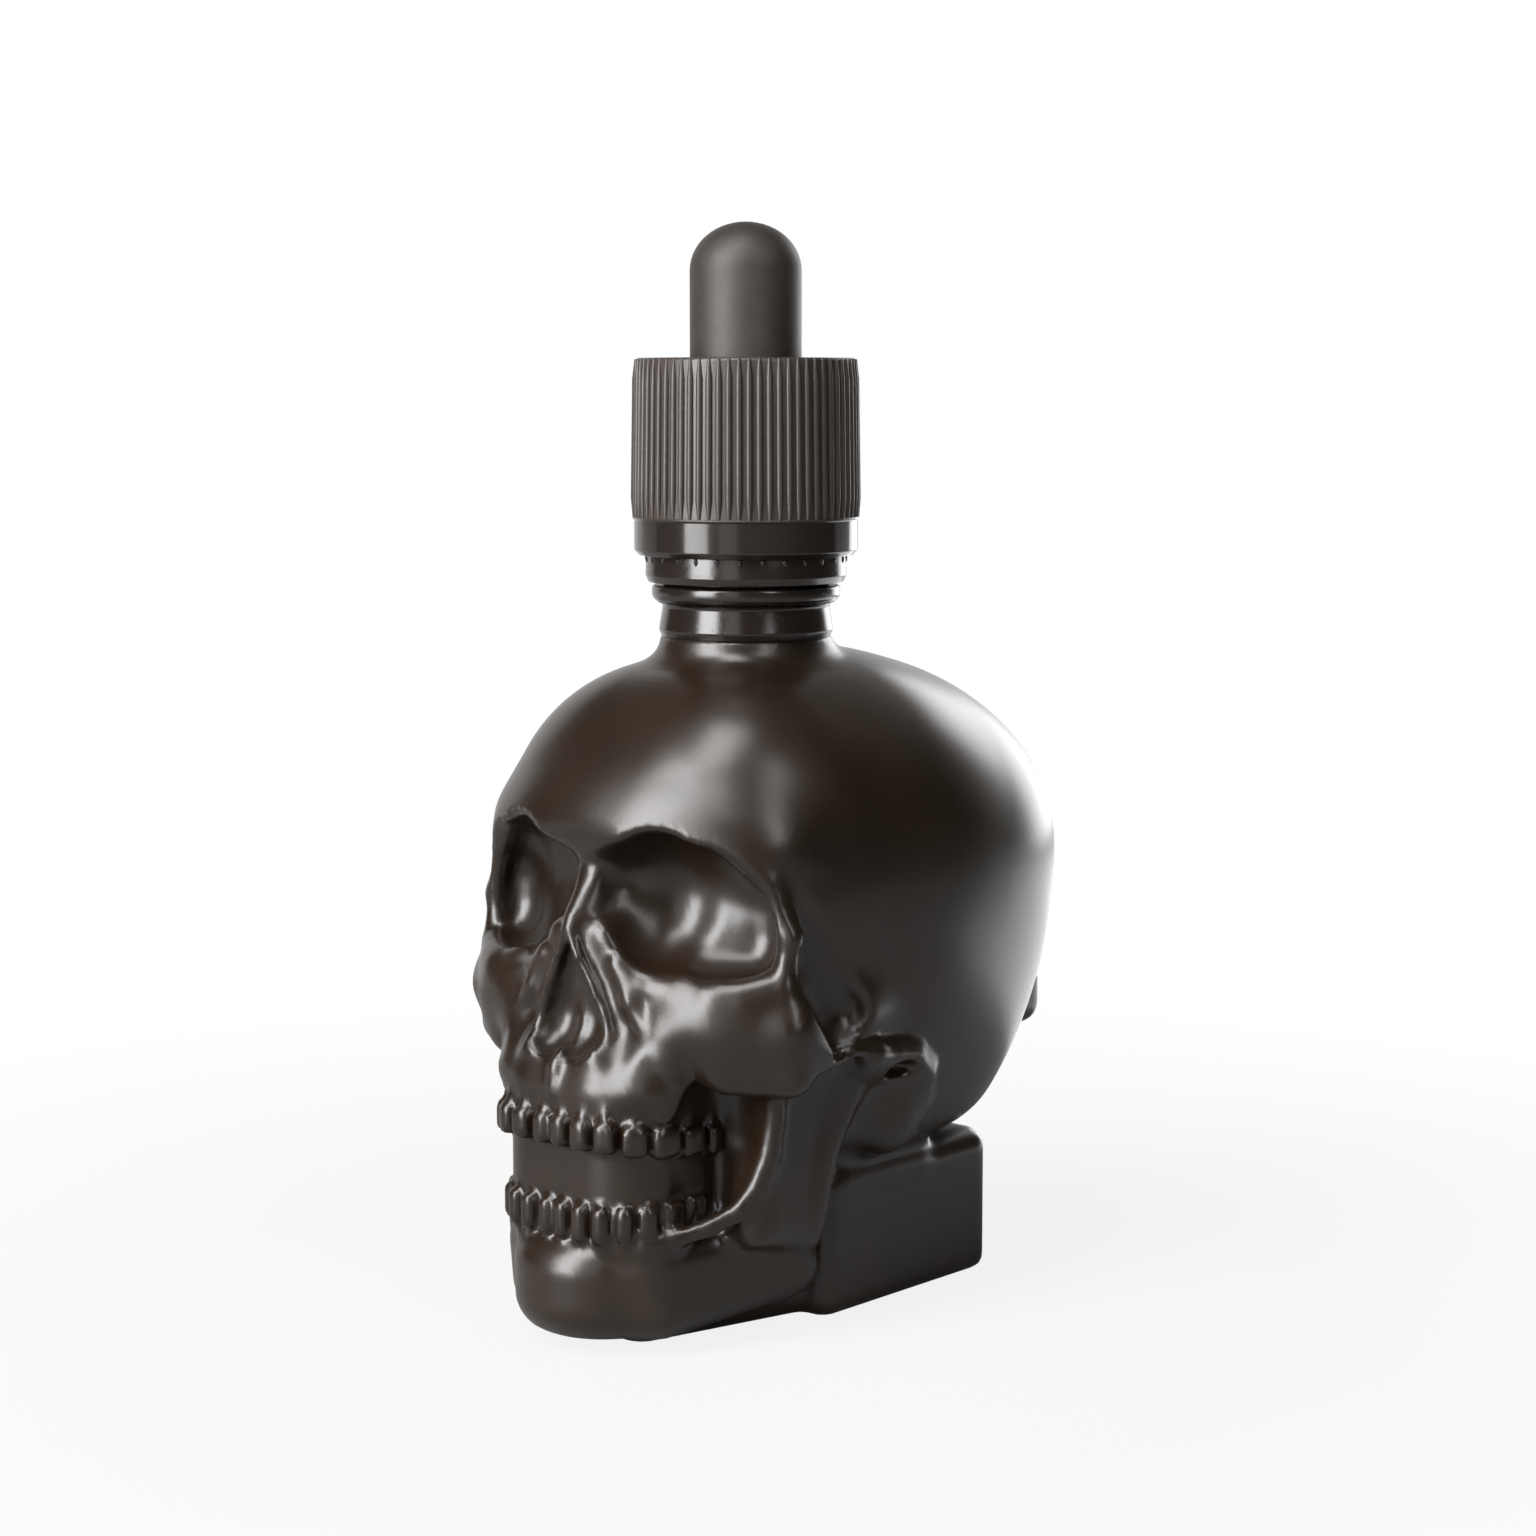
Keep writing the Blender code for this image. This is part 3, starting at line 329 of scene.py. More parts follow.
def closed_signs(field):
    """Fill the few places where the solid touches itself only at an edge or a corner of the grid."""
    values = field.values
    filled = -CLOSING_DEPTH * field.step
    for _ in range(CLOSING_ROUNDS):
        for u, v in ((0, 1), (0, 2), (1, 2)):
            four = []
            for du, dv in ((0, 0), (1, 1), (0, 1), (1, 0)):
                starts = [None] * 3
                starts[u], starts[v] = du, dv
                four.append(shifted(values, starts))
            a, b, c, d = four
            across = (a < 0) & (b < 0) & (c >= 0) & (d >= 0)
            other = (c < 0) & (d < 0) & (a >= 0) & (b >= 0)
            c[across] = filled
            a[other] = filled
        for flip_y, flip_z in ((0, 0), (0, 1), (1, 0), (1, 1)):
            cell = {(x, y, z): shifted(values, (x, y ^ flip_y, z ^ flip_z)) for x, y, z in CELL}
            start, end = cell[0, 0, 0] < 0, cell[1, 1, 1] < 0
            rest = [cell[place] < 0 for place in CELL[1:-1]]
            alone = start & end & ~np.logical_or.reduce(rest)
            hollow = ~start & ~end & np.logical_and.reduce(rest)
            cell[0, 0, 1][alone] = filled
            cell[0, 1, 1][alone] = filled
            cell[0, 0, 0][hollow] = filled
    return field


def polygonise(field):
    """A closed mesh of quads on the field's zero surface, with one point in each cell that it crosses."""
    values = field.values
    inside = values < 0
    total = sum(shifted(inside, place).astype(np.int8) for place in CELL)
    crossed = (total > 0) & (total < 8)
    cells = np.argwhere(crossed)
    index = np.full(crossed.shape, -1, np.int64)
    index[crossed] = np.arange(len(cells))
    sums = np.zeros((len(cells), 3))
    hits = np.zeros(len(cells))
    quads = []
    for axis in range(3):
        va, vb = (shifted(values, [side if i == axis else None for i in range(3)]) for side in (0, 1))
        edges = np.argwhere((va < 0) != (vb < 0))
        first, second = va[tuple(edges.T)], vb[tuple(edges.T)]
        point = edges.astype(float)
        point[:, axis] += first / (first - second)
        u, v = (axis + 1) % 3, (axis + 2) % 3
        ring = []
        for du, dv in ((-1, -1), (0, -1), (0, 0), (-1, 0)):
            cell = edges.copy()
            cell[:, u] += du
            cell[:, v] += dv
            found = index[tuple(cell.T)]
            np.add.at(sums, found, point)
            np.add.at(hits, found, 1)
            ring.append(found)
        ring = np.stack(ring, axis=1)
        ring[second < 0] = ring[second < 0][:, ::-1]
        quads.append(ring)
    low = np.array([lines[0] for lines in field.axes])
    return low + field.step * sums / hits[:, None], np.concatenate(quads)


def cranium_forms(add, cut):
    """Braincase, cut off flat underneath where the block carries it."""
    add(ball(CRANIUM_CENTRE, CRANIUM_RADII, below=CRANIUM_UNDER_DEPTH))
    cut(slab((0, 24, 2.6), (40, 30, 12.0), 2.0), 4.0)
    # A low crest across the back, where the neck muscles would hold.
    add(slab((0, 34.0, 25.8), (9.6, 3.6, 3.4), 2.2), 1.6)


def brow_forms(add, cut):
    """Frontal bone down to the upper rims of the eye sockets."""
    add(slab((0, -0.5, CROWN_HEIGHT - 18.4), (20.8, 21.4, 17.5), 16.0), 4.0)
    add(slab((0, -9.0, 41.0), (18.8, 11.6, 8.0), 8.0), 4.0)
    add(ball((0, -17.5, 47.4), (8.0, 4.6, 4.6)), 5.0)
    add(ball((10.4, -15.6, 47.6), (8.2, 4.4, 3.0), yaw=20), 4.0)


def face_forms(add, cut):
    """Middle of the face: upper jaw, cheek bones and the arch back to the ear."""
    add(ball((0, -8.0, 31.0), (CHEEK_HALF_WIDTH - 0.6, 16.2, 9.4), below=8.0), 2.5)
    add(ball((0, -16.9, 35.0), (6.8, 6.8, 7.6)), 2.0)
    add(arch(9.8, FACE_FRONT_Y + 1.3, -4.0, ROW_CORNER_R, 21.0, 25.2, 0.8), 1.5)
    add(arch(10.0, FACE_FRONT_Y + 1.4, -4.0, ROW_CORNER_R, 22.0, 29.5, 2.2), 2.0)
    # Cheek bone, full towards the front and drawn back to its pointed process.
    add(ball((13.6, -17.4, 30.8), (7.2, 4.4, 5.4), below=5.2, yaw=34), 1.8)
    add(slab((16.4, -16.0, 29.6), (5.2, 3.0, 5.3), 2.4, yaw=34), 2.2)
    root, tip = (CHEEK_HALF_WIDTH - 2.8, -15.4, 30.6), (CHEEK_HALF_WIDTH - 1.6, -12.2, 28.6)
    add(rod(root, tip, 2.4, 1.1), 1.8)
    # Thin arch, the knob where it meets the temple and the ridge over and behind the ear.
    side = CHEEK_HALF_WIDTH - 1.4
    arch_line = [(side - 0.7, -13.8, 27.2), (side - 0.1, -10.6, 27.2), (side, -8.0, 27.8), (side, -5.0, 27.6)]
    add(ridge(arch_line, [0.9, 0.5, 0.5, 0.8]), 0.8)
    ear_root = [(side - 1.6, -4.4, 26.2), (side - 1.6, 0.0, 25.8), (side - 2.0, 3.4, 24.2)]
    add(ridge(ear_root, [1.8, 1.8, 1.6]), 1.6)
    ear_line = [(side, -5.0, 27.0), (side, -1.6, 26.8), (side - 0.2, 1.4, 26.0), (side - 0.8, 3.8, 23.8),
                (side - 2.6, 5.2, 20.6), (side - 4.8, 5.6, 17.4)]
    add(ridge(ear_line, [0.8, 0.6, 0.6, 0.6, 0.6, 0.6]), 1.6)


def rim_forms(add, cut):
    """Crisp rims: edge of the eye socket, and the ridges down to the teeth."""
    add(ridge([(4.9, -23.0, 36.2), (7.2, -22.4, 34.4), (10.5, -21.2, 33.6), (14.2, -19.8, 33.5)],
              [0.6, 0.8, 0.8, 0.9]), 1.0)
    add(ridge([(14.2, -19.8, 33.5), (16.4, -18.4, 33.8), (19.3, -16.0, 35.1), (19.8, -15.5, 39.4)],
              [0.9, 1.1, 1.2, 0.8]), 1.6)
    add(ridge([(19.8, -15.5, 39.4), (17.7, -16.3, 44.2), (14.1, -18.5, 47.6)], 0.8), 1.2)
    add(ridge([(4.9, -23.0, 36.2), (6.6, -23.2, 32.9), (8.1, -23.0, 30.6)], [0.6, 0.8, 0.5]), 1.0)
    add(ridge([(9.6, -21.9, 31.2), (10.4, -22.0, 28.0), (11.2, -21.8, 25.6), (10.4, -22.6, 22.6)],
              [0.5, 0.8, 0.8, 0.6]), 1.2)


def jaw_forms(add, cut):
    """Lower jaw: chin, body and the upright branch on each side."""
    add(arch(9.7, FACE_FRONT_Y + 1.5, -6.0, 6.0, 9.0, 24.0, 1.0), 0.8)
    add(arch(8.7, FACE_FRONT_Y - 0.7, -8.0, 8.4, 0.5, 10.6, 3.6), 1.2)
    add(slab((9.6, -14.2, 6.8), (3.4, 10.2, 5.1), 3.2, yaw=-17, pitch=8), 2.0)
    # Upright branch with its rear ridge, and the channel inside its front edge.
    add(slab((14.2, -9.8, 18.0), (2.3, 5.2, 9.4), 1.8, yaw=-3, pitch=-11), 2.0)
    add(slab((12.0, -10.4, 18.5), (4.2, 4.2, 8.0), 1.2), 1.0)
    add(ridge([(18.0, -3.9, 25.4), (17.0, -5.3, 20.6), (15.9, -6.6, 16.3), (15.2, -7.6, 11.5)],
              [1.2, 0.9, 0.9, 0.9]), 1.8)
    front_rim = [(16.8, -14.4, 26.4), (16.6, -14.1, 22.0), (16.2, -14.5, 18.4), (15.5, -15.5, 15.5),
                 (14.4, -17.0, 13.2), (12.6, -19.0, 11.8), (10.6, -21.4, 10.9), (8.6, -23.4, 10.3)]
    add(ridge(front_rim, [0.9, 0.9, 0.9, 0.9, 0.9, 0.9, 0.8, 0.7]), 1.2)
    channel = [(13.2, -17.0, 27.0), (13.0, -16.9, 19.5), (12.2, -18.0, 15.8), (10.8, -20.2, 14.2)]
    cut(ridge(channel, [2.6, 2.6, 2.0, 1.2]), 0.6)


def base_forms(add, cut):
    """Block under the back of the head, and the plate that joins it to the jaw."""
    add(slab((0, 9.0, 5.4), (14.3, 13.2, 9.2), 2.2), 0.4)
    add(slab((5.0, -9.5, 3.0), (5.0, 13.0, 5.0), 3.0, yaw=-14), 1.0)
    add(slab((0, -7.4, 3.0), (7.4, 12.6, 5.0), 3.4), 1.0)
    add(slab((0, 2.6, 16.0), (11.0, 12.2, 9.0), 3.0), 2.0)
    # Solid middle, so that jaw, plates and block are one piece of glass with one space inside.
    add(slab((0, -6.0, 9.0), (7.5, 12.5, 7.0), 3.0))


def ear_forms(add, cut):
    """Mastoid cone behind the jaw, and the ear hole before it."""
    add(ball((15.6, 2.6, 21.2), (4.2, 4.0, 5.6), below=5.8), 1.4)
    add(slab((11.4, 5.0, 16.0), (2.6, 7.6, 5.0), 2.0), 1.5)
    cut(ball((21.4, -0.6, 24.9), (2.8, 2.0, 0.9)), 0.5)


def hollows(add, cut):
    """Eye sockets, nose and the hollow at the temple."""
    # The socket is a deep pocket beside the nose and a wider one towards the cheek, with a crease between.
    outer_pocket = ball((12.8, -20.6, 42.4), (5.4, 5.4, 5.2), yaw=34)
    outer_floor = slab((15.0, -19.6, 39.9), (5.5, 4.8, 4.5), 3.6, yaw=34)
    cut(melded([outer_pocket, outer_floor], 2.0), 0.7)
    cut(ball((9.1, -22.8, 42.1), (5.8, 7.4, 6.6)), 1.0)
    # Dip over the root of the nose, whose flanks slope back like a gable.
    cut(ball((0, -28.2, 44.0), (7.0, 6.0, 3.8)), 3.5)
    cut(slab((4.2, -22.2, 43.3), (2.8, 2.5, 2.2), 1.8, yaw=48, pitch=-27), 2.4)
    opening = [ball((1.7, -27.6, 30.6), (3.2, 4.9, 3.6)), ball((0.5, -27.8, 34.6), (2.1, 4.8, 4.4))]
    cut(melded(opening, 2.5), 0.5)
    temple = slab((23.6, -13.4, 36.9), (4.6, 3.1, 9.6), 2.4, pitch=34)
    cut(behind(temple, -14.8), 0.9)
    # Valley beside the nose, and the crease before the ridge to the side teeth.
    cut(rod((6.3, -25.4, 34.6), (7.2, -26.0, 29.0), 0.8, 1.2), 2.4)
    cut(rod((11.0, -24.4, 27.6), (10.0, -25.2, 22.4), 1.0, 1.2), 2.0)


def nose_forms(add, cut):
    """Nasal bones, the rim of the opening and the spine below."""
    add(ridge([(0, -19.0, 45.6), (0, -21.9, 42.0), (0, -24.2, 40.0)], [1.6, 1.4, 0.8]), 2.0)
    add(rod((1.0, -21.4, 44.4), (0.9, -22.0, 43.2), 0.6, 0.6), 0.6)
    aperture = [(0.3, -24.8, 39.2), (1.4, -24.8, 36.8), (2.9, -24.4, 34.2), (4.2, -24.2, 31.6),
                (4.9, -24.2, 29.4), (4.6, -24.8, 27.8), (3.4, -25.8, 26.9)]
    add(ridge(aperture, 0.5), 0.6)
    add(ridge([(0, -25.8, 27.6), (0, -26.8, 26.4), (0, -27.0, 24.0)], [0.6, 0.6, 0.4]), 1.0)
    # Soft swelling over the eye tooth.
    add(rod((9.4, -21.2, 29.0), (8.8, -22.7, 24.8), 1.2, 2.0), 3.0)


def tooth_place(position, half_width, front):
    """Where along the U of the jaw a tooth stands, and how far it is turned to face outwards."""
    straight = half_width - ROW_CORNER_R
    angle = min(max((position - straight) / ROW_CORNER_R, 0.0), math.pi / 2)
    x = min(position, straight) + ROW_CORNER_R * math.sin(angle)
    beyond = max(position - straight - ROW_CORNER_R * math.pi / 2, 0.0)
    return x, front + ROW_CORNER_R * (1 - math.cos(angle)) + beyond, math.degrees(angle)


def tooth_row(add, widths, half_width, front, heights, half_heights, root):
    """Teeth from the middle back, each with a small bump at its root.

    The heights stay as at the first tooth for a while, then change evenly to those at the last.
    """
    position, total = 0.0, sum(widths)
    for width in widths:
        middle = position + width / 2
        share = max(0.0, middle / total - LEVEL_TEETH) / (1.0 - LEVEL_TEETH)
        mid_z, half_z = (first + (last - first) * share for first, last in (heights, half_heights))
        x, y, turn = tooth_place(middle, half_width, front)
        c, s = cos_sin(turn)

        def inwards(depth, z):
            return x - depth * s, y + depth * c, z

        size = (width / 2 - TOOTH_GAP, TOOTH_HALF_DEPTH, half_z)
        add(slab(inwards(0.8, mid_z), size, 0.6, yaw=turn), 0.15)
        foot = mid_z + root * half_z
        add(rod(inwards(0.5, foot), inwards(0.9, foot + root * 1.2), 0.5, 0.4), 0.4)
        position += width


def teeth_forms(add, cut):
    """Upper and lower row."""
    upper = (2.6, 2.8, 2.8, 3.1, 3.6, 3.4, 2.4)
    lower = (2.3, 2.4, 2.4, 2.3, 2.5, 3.1, 3.1)
    tooth_row(add, upper, 10.5, FACE_FRONT_Y + 0.5, (20.7, 19.1), (1.5, 1.4), 1)
    tooth_row(add, lower, 9.9, FACE_FRONT_Y + 0.9, (12.3, 13.0), (1.75, 1.3), -1)


def head_grid(step):
    """An empty grid with room for the whole head on its left side."""
    low = (-2.2 * step, FACE_FRONT_Y - 3.9, -4.0)
    back = CRANIUM_CENTRE[1] + CRANIUM_RADII[1]
    high = (max(CHEEK_HALF_WIDTH, CRANIUM_RADII[0]) + 4.6, back + 3.4, CROWN_HEIGHT + 4.6)
    count = [int(math.ceil((h - l) / step)) + 1 for l, h in zip(low, high)]
    axes = [l + step * np.arange(n) for l, n in zip(low, count)]
    return Field(axes, np.full(count, FAR_OUTSIDE), step)


def skull_field(step):
    field = head_grid(step)
    for shape in (cranium_forms, brow_forms, face_forms, jaw_forms, base_forms, ear_forms, hollows,
                  nose_forms, rim_forms, teeth_forms):
        shape(field.add, field.cut)
    return field


def mirrored(field):
    """The whole field, from its left half."""
    start = int(np.searchsorted(field.axes[0], 0.0))
    x, half = field.axes[0][start:], field.values[start:]
    axes = [np.concatenate([-x[::-1], x]), field.axes[1], field.axes[2]]
    return Field(axes, np.concatenate([half[::-1], half]), field.step)


def link(name, mesh):
    piece = bpy.data.objects.new(name, mesh)
    bpy.context.scene.collection.objects.link(piece)
    return piece


def solid(name, field):
    """A field's solid as a piece."""
    points, quads = polygonise(closed_signs(mirrored(field)))
    mesh = bpy.data.meshes.new(name)
    mesh.from_pydata([Vector(p) * MM for p in points * SKULL_SIZE], [], quads.tolist())
    mesh.validate()
    return link(name, mesh)


def bmesh_piece(name, work):
    """A piece from finished bmesh work."""
    mesh = bpy.data.meshes.new(name)
    work.to_mesh(mesh)
    work.free()
    return link(name, mesh)


def settle(piece):
    """Turn a piece's modifiers into its mesh."""
    graph = bpy.context.evaluated_depsgraph_get()
    mesh = bpy.data.meshes.new_from_object(piece.evaluated_get(graph))
    piece.modifiers.clear()
    piece.data = mesh
    return piece


def cut_out(piece, tool):
    """Cut one piece by another, which is then removed."""
    step = piece.modifiers.new("Cut", "BOOLEAN")
    step.operation = "DIFFERENCE"
    step.solver = "EXACT"
    step.object = tool
    settle(piece)
    bpy.data.objects.remove(tool, do_unlink=True)


def joined(name, pieces):
    """Several meshes as one piece."""
    work = bmesh.new()
    for piece in pieces:
        work.from_mesh(piece.data)
        bpy.data.objects.remove(piece, do_unlink=True)
    return bmesh_piece(name, work)


def shade(piece, crease=35):
    """Smooth shading, with sharp edges where faces meet at more than the crease's degrees."""
    piece.data.shade_smooth()
    piece.data.set_sharp_from_angle(angle=math.radians(crease))
    return piece


# Turned pieces. Each corner of a profile is a radius, a height and the radius that rounds it.


def rounded_profile(corners):
    """Points of a closed profile, each rounded corner as a short arc of straight steps."""
    points = []
    count = len(corners)
    for i, (r, z, fillet) in enumerate(corners):
        here = np.array((r, z))
        if fillet <= 0:
            points.append(here)
            continue
        before = np.array(corners[i - 1][:2]) - here
        after = np.array(corners[(i + 1) % count][:2]) - here
        before, after = before / np.linalg.norm(before), after / np.linalg.norm(after)
        half = math.acos(float(np.clip(before @ after, -1, 1))) / 2
        reach = fillet / math.tan(half)
        centre = here + (before + after) / np.linalg.norm(before + after) * fillet / math.sin(half)
        first, last = here + before * reach - centre, here + after * reach - centre
        for k in range(ARC_STEPS + 1):
            mix = first * (1 - k / ARC_STEPS) + last * (k / ARC_STEPS)
            points.append(centre + mix / np.linalg.norm(mix) * fillet)
    return points


def turned_piece(name, corners, segments=128):
    """A solid turned about the Z axis. Its profile runs down the outer side and back up the inner one."""
    work = bmesh.new()
    verts = [work.verts.new((r * MM, 0, z * MM)) for r, z in rounded_profile(corners)]
    edges = [work.edges.new((verts[i - 1], verts[i])) for i in range(len(verts))]
    bmesh.ops.spin(work, geom=verts + edges, cent=(0, 0, 0), axis=(0, 0, 1), angle=math.tau,
                   steps=segments, use_merge=True)
    bmesh.ops.remove_doubles(work, verts=work.verts[:], dist=1e-6)
    loose = [e for e in work.edges if not e.link_faces]
    bmesh.ops.delete(work, geom=loose, context="EDGES")
    bmesh.ops.recalc_face_normals(work, faces=work.faces[:])
    return shade(bmesh_piece(name, work))


def lug(angle, z_low, z_high):
    """A driving lug: a short sector of a ring, centred on an angle about the Z axis."""
    work = bmesh.new()
    plan = []
    around = range(LUG_STEPS + 1)
    for r, order in ((INNER_CAP_R - LUG_INSET, around), (BULB_HOLE_R + LUG_INSET, reversed(around))):
        for k in order:
            c, s = cos_sin(angle + LUG_ANGLE * (k / LUG_STEPS - 0.5))
            plan.append((r * c * MM, r * s * MM, z_low * MM))
    face = work.faces.new([work.verts.new(p) for p in plan])
    top = bmesh.ops.extrude_face_region(work, geom=[face])["geom"]
    rise = [g for g in top if isinstance(g, bmesh.types.BMVert)]
    bmesh.ops.translate(work, verts=rise, vec=(0, 0, (z_high - z_low) * MM))
    bmesh.ops.recalc_face_normals(work, faces=work.faces[:])
    return bmesh_piece("lug", work)


def lug_ring(z_low, z_high, shift=0.0):
    """All driving lugs of one cap, shifted round by a share of their spacing."""
    return [lug(360 / LUG_COUNT * (i + shift), z_low, z_high) for i in range(LUG_COUNT)]


def dome(r, height, top_z):
    """Upper quarter of an oval, from the axis out to its full radius."""
    turns = [math.pi / 2 * k / DOME_STEPS for k in range(DOME_STEPS + 1)]
    return [(r * math.sin(turn), top_z - height + height * math.cos(turn), 0) for turn in turns]


# Node trees, for shapes that repeat or follow a path, for finishes and for the studio.


class Value:
    """A number socket that takes part in Python expressions, each adding its Math node."""

    def __init__(self, nodes, socket):
        self.nodes, self.socket = nodes, socket

    def __add__(self, other):
        return self.nodes.maths("ADD", self, other)

    def __mul__(self, other):
        return self.nodes.maths("MULTIPLY", self, other)

    __radd__, __rmul__ = __add__, __mul__

    def rise(self, low, high):
        """0 below low, 1 above high and a smooth step between."""
        made = self.nodes.node("ShaderNodeMapRange", {"interpolation_type": "SMOOTHSTEP"}, Value=self,
                               From_Min=low, From_Max=high)
        return self.nodes.value(made.outputs["Result"])


class Nodes:
    """A node tree, with short calls that add its nodes and feed their sockets."""

    def __init__(self, tree):
        self.tree = tree

    def feed(self, socket, value):
        """Give a socket a value, or a link from another socket or from a node's first output."""
        if isinstance(value, Value):
            value = value.socket
        if isinstance(value, bpy.types.Node):
            value = next(s for s in value.outputs if s.enabled)
        if isinstance(value, bpy.types.NodeSocket):
            self.tree.links.new(value, socket)
        else:
            socket.default_value = value

    def fill(self, node, **values):
        """Feed a node's sockets, found by name."""
        for key, value in values.items():
            self.feed(next(s for s in node.inputs if s.name.replace(" ", "_") == key and s.enabled), value)
        return node

    def node(self, kind, settings=None, **values):
        """One node: its settings first, then the values or links of its sockets by name."""
        made = self.tree.nodes.new(kind)
        for key, value in (settings or {}).items():
            setattr(made, key, value)
        return self.fill(made, **values)

    def value(self, socket):
        return Value(self, socket)

    def maths(self, operation, *terms):
        made = self.node("ShaderNodeMath", {"operation": operation})
        for socket, term in zip(made.inputs, terms):
            self.feed(socket, term)
        return self.value(made.outputs[0])

    def seen_by(self, *kinds):
        """1 for rays of the named kinds, 0 for others."""
        rays = self.node("ShaderNodeLightPath")
        share, *others = [self.value(rays.outputs[f"Is {kind} Ray"]) for kind in kinds]
        for other in others:
            share = self.maths("MAXIMUM", share, other)
        return share

    def show(self, output, share, plain, white):
        """Show the plain surface where the share is 0 and the white one where it is 1."""
        made = self.node("ShaderNodeMixShader")
        for socket, value in zip(made.inputs, (share, plain, white)):
            self.feed(socket, value)
        self.feed(self.tree.nodes[output].inputs[0], made)


class Shape(Nodes):
    """A Geometry Nodes tree whose finish and sizes are named inputs."""

    def __init__(self, name, finish, **inputs):
        super().__init__(bpy.data.node_groups.new(name, "GeometryNodeTree"))
        sockets = self.tree.interface
        sockets.new_socket("Geometry", in_out="OUTPUT", socket_type="NodeSocketGeometry")
        self.inputs = {}
        for label, value in {"Finish": FINISHES[finish], **inputs}.items():
            kind = {int: "NodeSocketInt", float: "NodeSocketFloat"}.get(type(value), "NodeSocketMaterial")
            item = sockets.new_socket(label, in_out="INPUT", socket_type=kind)
            self.inputs[item.identifier] = value
        self.group = self.tree.nodes.new("NodeGroupInput")

    def feed(self, socket, value):
        """As in any tree, and a string stands for the tree's input of that name."""
        super().feed(socket, self.group.outputs[value] if isinstance(value, str) else value)

    def fade(self, start, end):
        """1 along a curve, falling to 0 at its ends. The numbers say how fast it falls."""
        share = self.value(self.node("GeometryNodeSplineParameter").outputs["Factor"])
        rest = self.maths("SUBTRACT", 1.0, share)
        return self.maths("MINIMUM", self.maths("MINIMUM", share * start, rest * end), 1.0)

    def vector(self, x=0.0, y=0.0, z=0.0):
        return self.node("ShaderNodeCombineXYZ", X=x, Y=y, Z=z)

    def ring(self, radius):
        """Points in a ring, as many as the input Count says."""
        return self.node("GeometryNodeMeshCircle", {"fill_type": "NONE"}, Vertices="Count", Radius=radius)

    def raised(self, geometry, height):
        return self.node("GeometryNodeSetPosition", Geometry=geometry, Offset=self.vector(z=height))

    def swept(self, path, radius, resolution, scale):
        """A bar of round section along a path."""
        section = self.node("GeometryNodeCurvePrimitiveCircle", Resolution=resolution, Radius=radius)
        return self.node("GeometryNodeCurveToMesh", Curve=path, Profile_Curve=section, Fill_Caps=True,
                         Scale=scale)

    def piece(self, name, geometry):
        """The tree's result as a plain mesh."""
        out = self.tree.nodes.new("NodeGroupOutput")
        realised = self.node("GeometryNodeRealizeInstances", Geometry=geometry)
        self.feed(out.inputs[0], self.node("GeometryNodeSetMaterial", Geometry=realised, Material="Finish"))
        holder = link(name, bpy.data.meshes.new(name))
        modifier = holder.modifiers.new("Shape", "NODES")
        modifier.node_group = self.tree
        for identifier, value in self.inputs.items():
            modifier[identifier] = value
        return settle(holder)


def rib_ring(name, finish, **sizes):
    """Upright rounded ribs round a slightly tapered body, each sunk in it to a little over half."""
    tree = Shape("Ribs", finish, **sizes)
    # One rib: a bar of half-round section, its ends drawn in, leaning with the body's taper.
    path = tree.node("GeometryNodeCurvePrimitiveLine", Start=tree.vector(x="Low_radius", z="Low"),
                     End=tree.vector(x="Top_radius", z="Top"))
    path = tree.node("GeometryNodeResampleCurve", Curve=path, Count=9)
    bar = tree.swept(path, "Radius", 12, tree.maths("POWER", tree.fade(40.0, 9.0) * 0.75 + 0.25, 0.6))
    index = tree.value(tree.node("GeometryNodeInputIndex").outputs[0])
    turn = tree.vector(z=index * tree.maths("DIVIDE", math.tau, "Count"))
    rotation = tree.node("FunctionNodeEulerToRotation", Euler=turn)
    flat = tree.node("GeometryNodeSetPosition", Geometry=tree.ring(1.0), Position=tree.vector())
    ribs = tree.node("GeometryNodeInstanceOnPoints", Points=flat, Instance=bar, Rotation=rotation)
    return tree.piece(name, ribs)


def screw_thread(name, finish, radius, low, section):
    """A helical ridge that fades out at both ends."""
    tree = Shape("Thread", finish, Turns=THREAD_TURNS, Rise=THREAD_RISE * MM, Radius=radius * MM,
                 Low=low * MM, Section=section * MM)
    path = tree.node("GeometryNodeCurveSpiral", Resolution=96, Rotations="Turns", Start_Radius="Radius",
                     End_Radius="Radius", Height="Rise")
    swell = tree.maths("MAXIMUM", tree.fade(12.0, 12.0), 0.05)
    return tree.piece(name, tree.swept(tree.raised(path, "Low"), "Section", 10, swell))


def nub_ring(name, finish, **sizes):
    """Small round nubs round a band."""
    tree = Shape("Nubs", finish, **sizes)
    nub = tree.node("GeometryNodeMeshUVSphere", Segments=10, Rings=8, Radius="Radius")
    nub = tree.node("GeometryNodeTransform", Geometry=nub, Scale=(1.0, 1.0, 1.9))
    ring = tree.raised(tree.ring("Ring_radius"), "Height")
    return tree.piece(name, tree.node("GeometryNodeInstanceOnPoints", Points=ring, Instance=nub))


# Finishes.


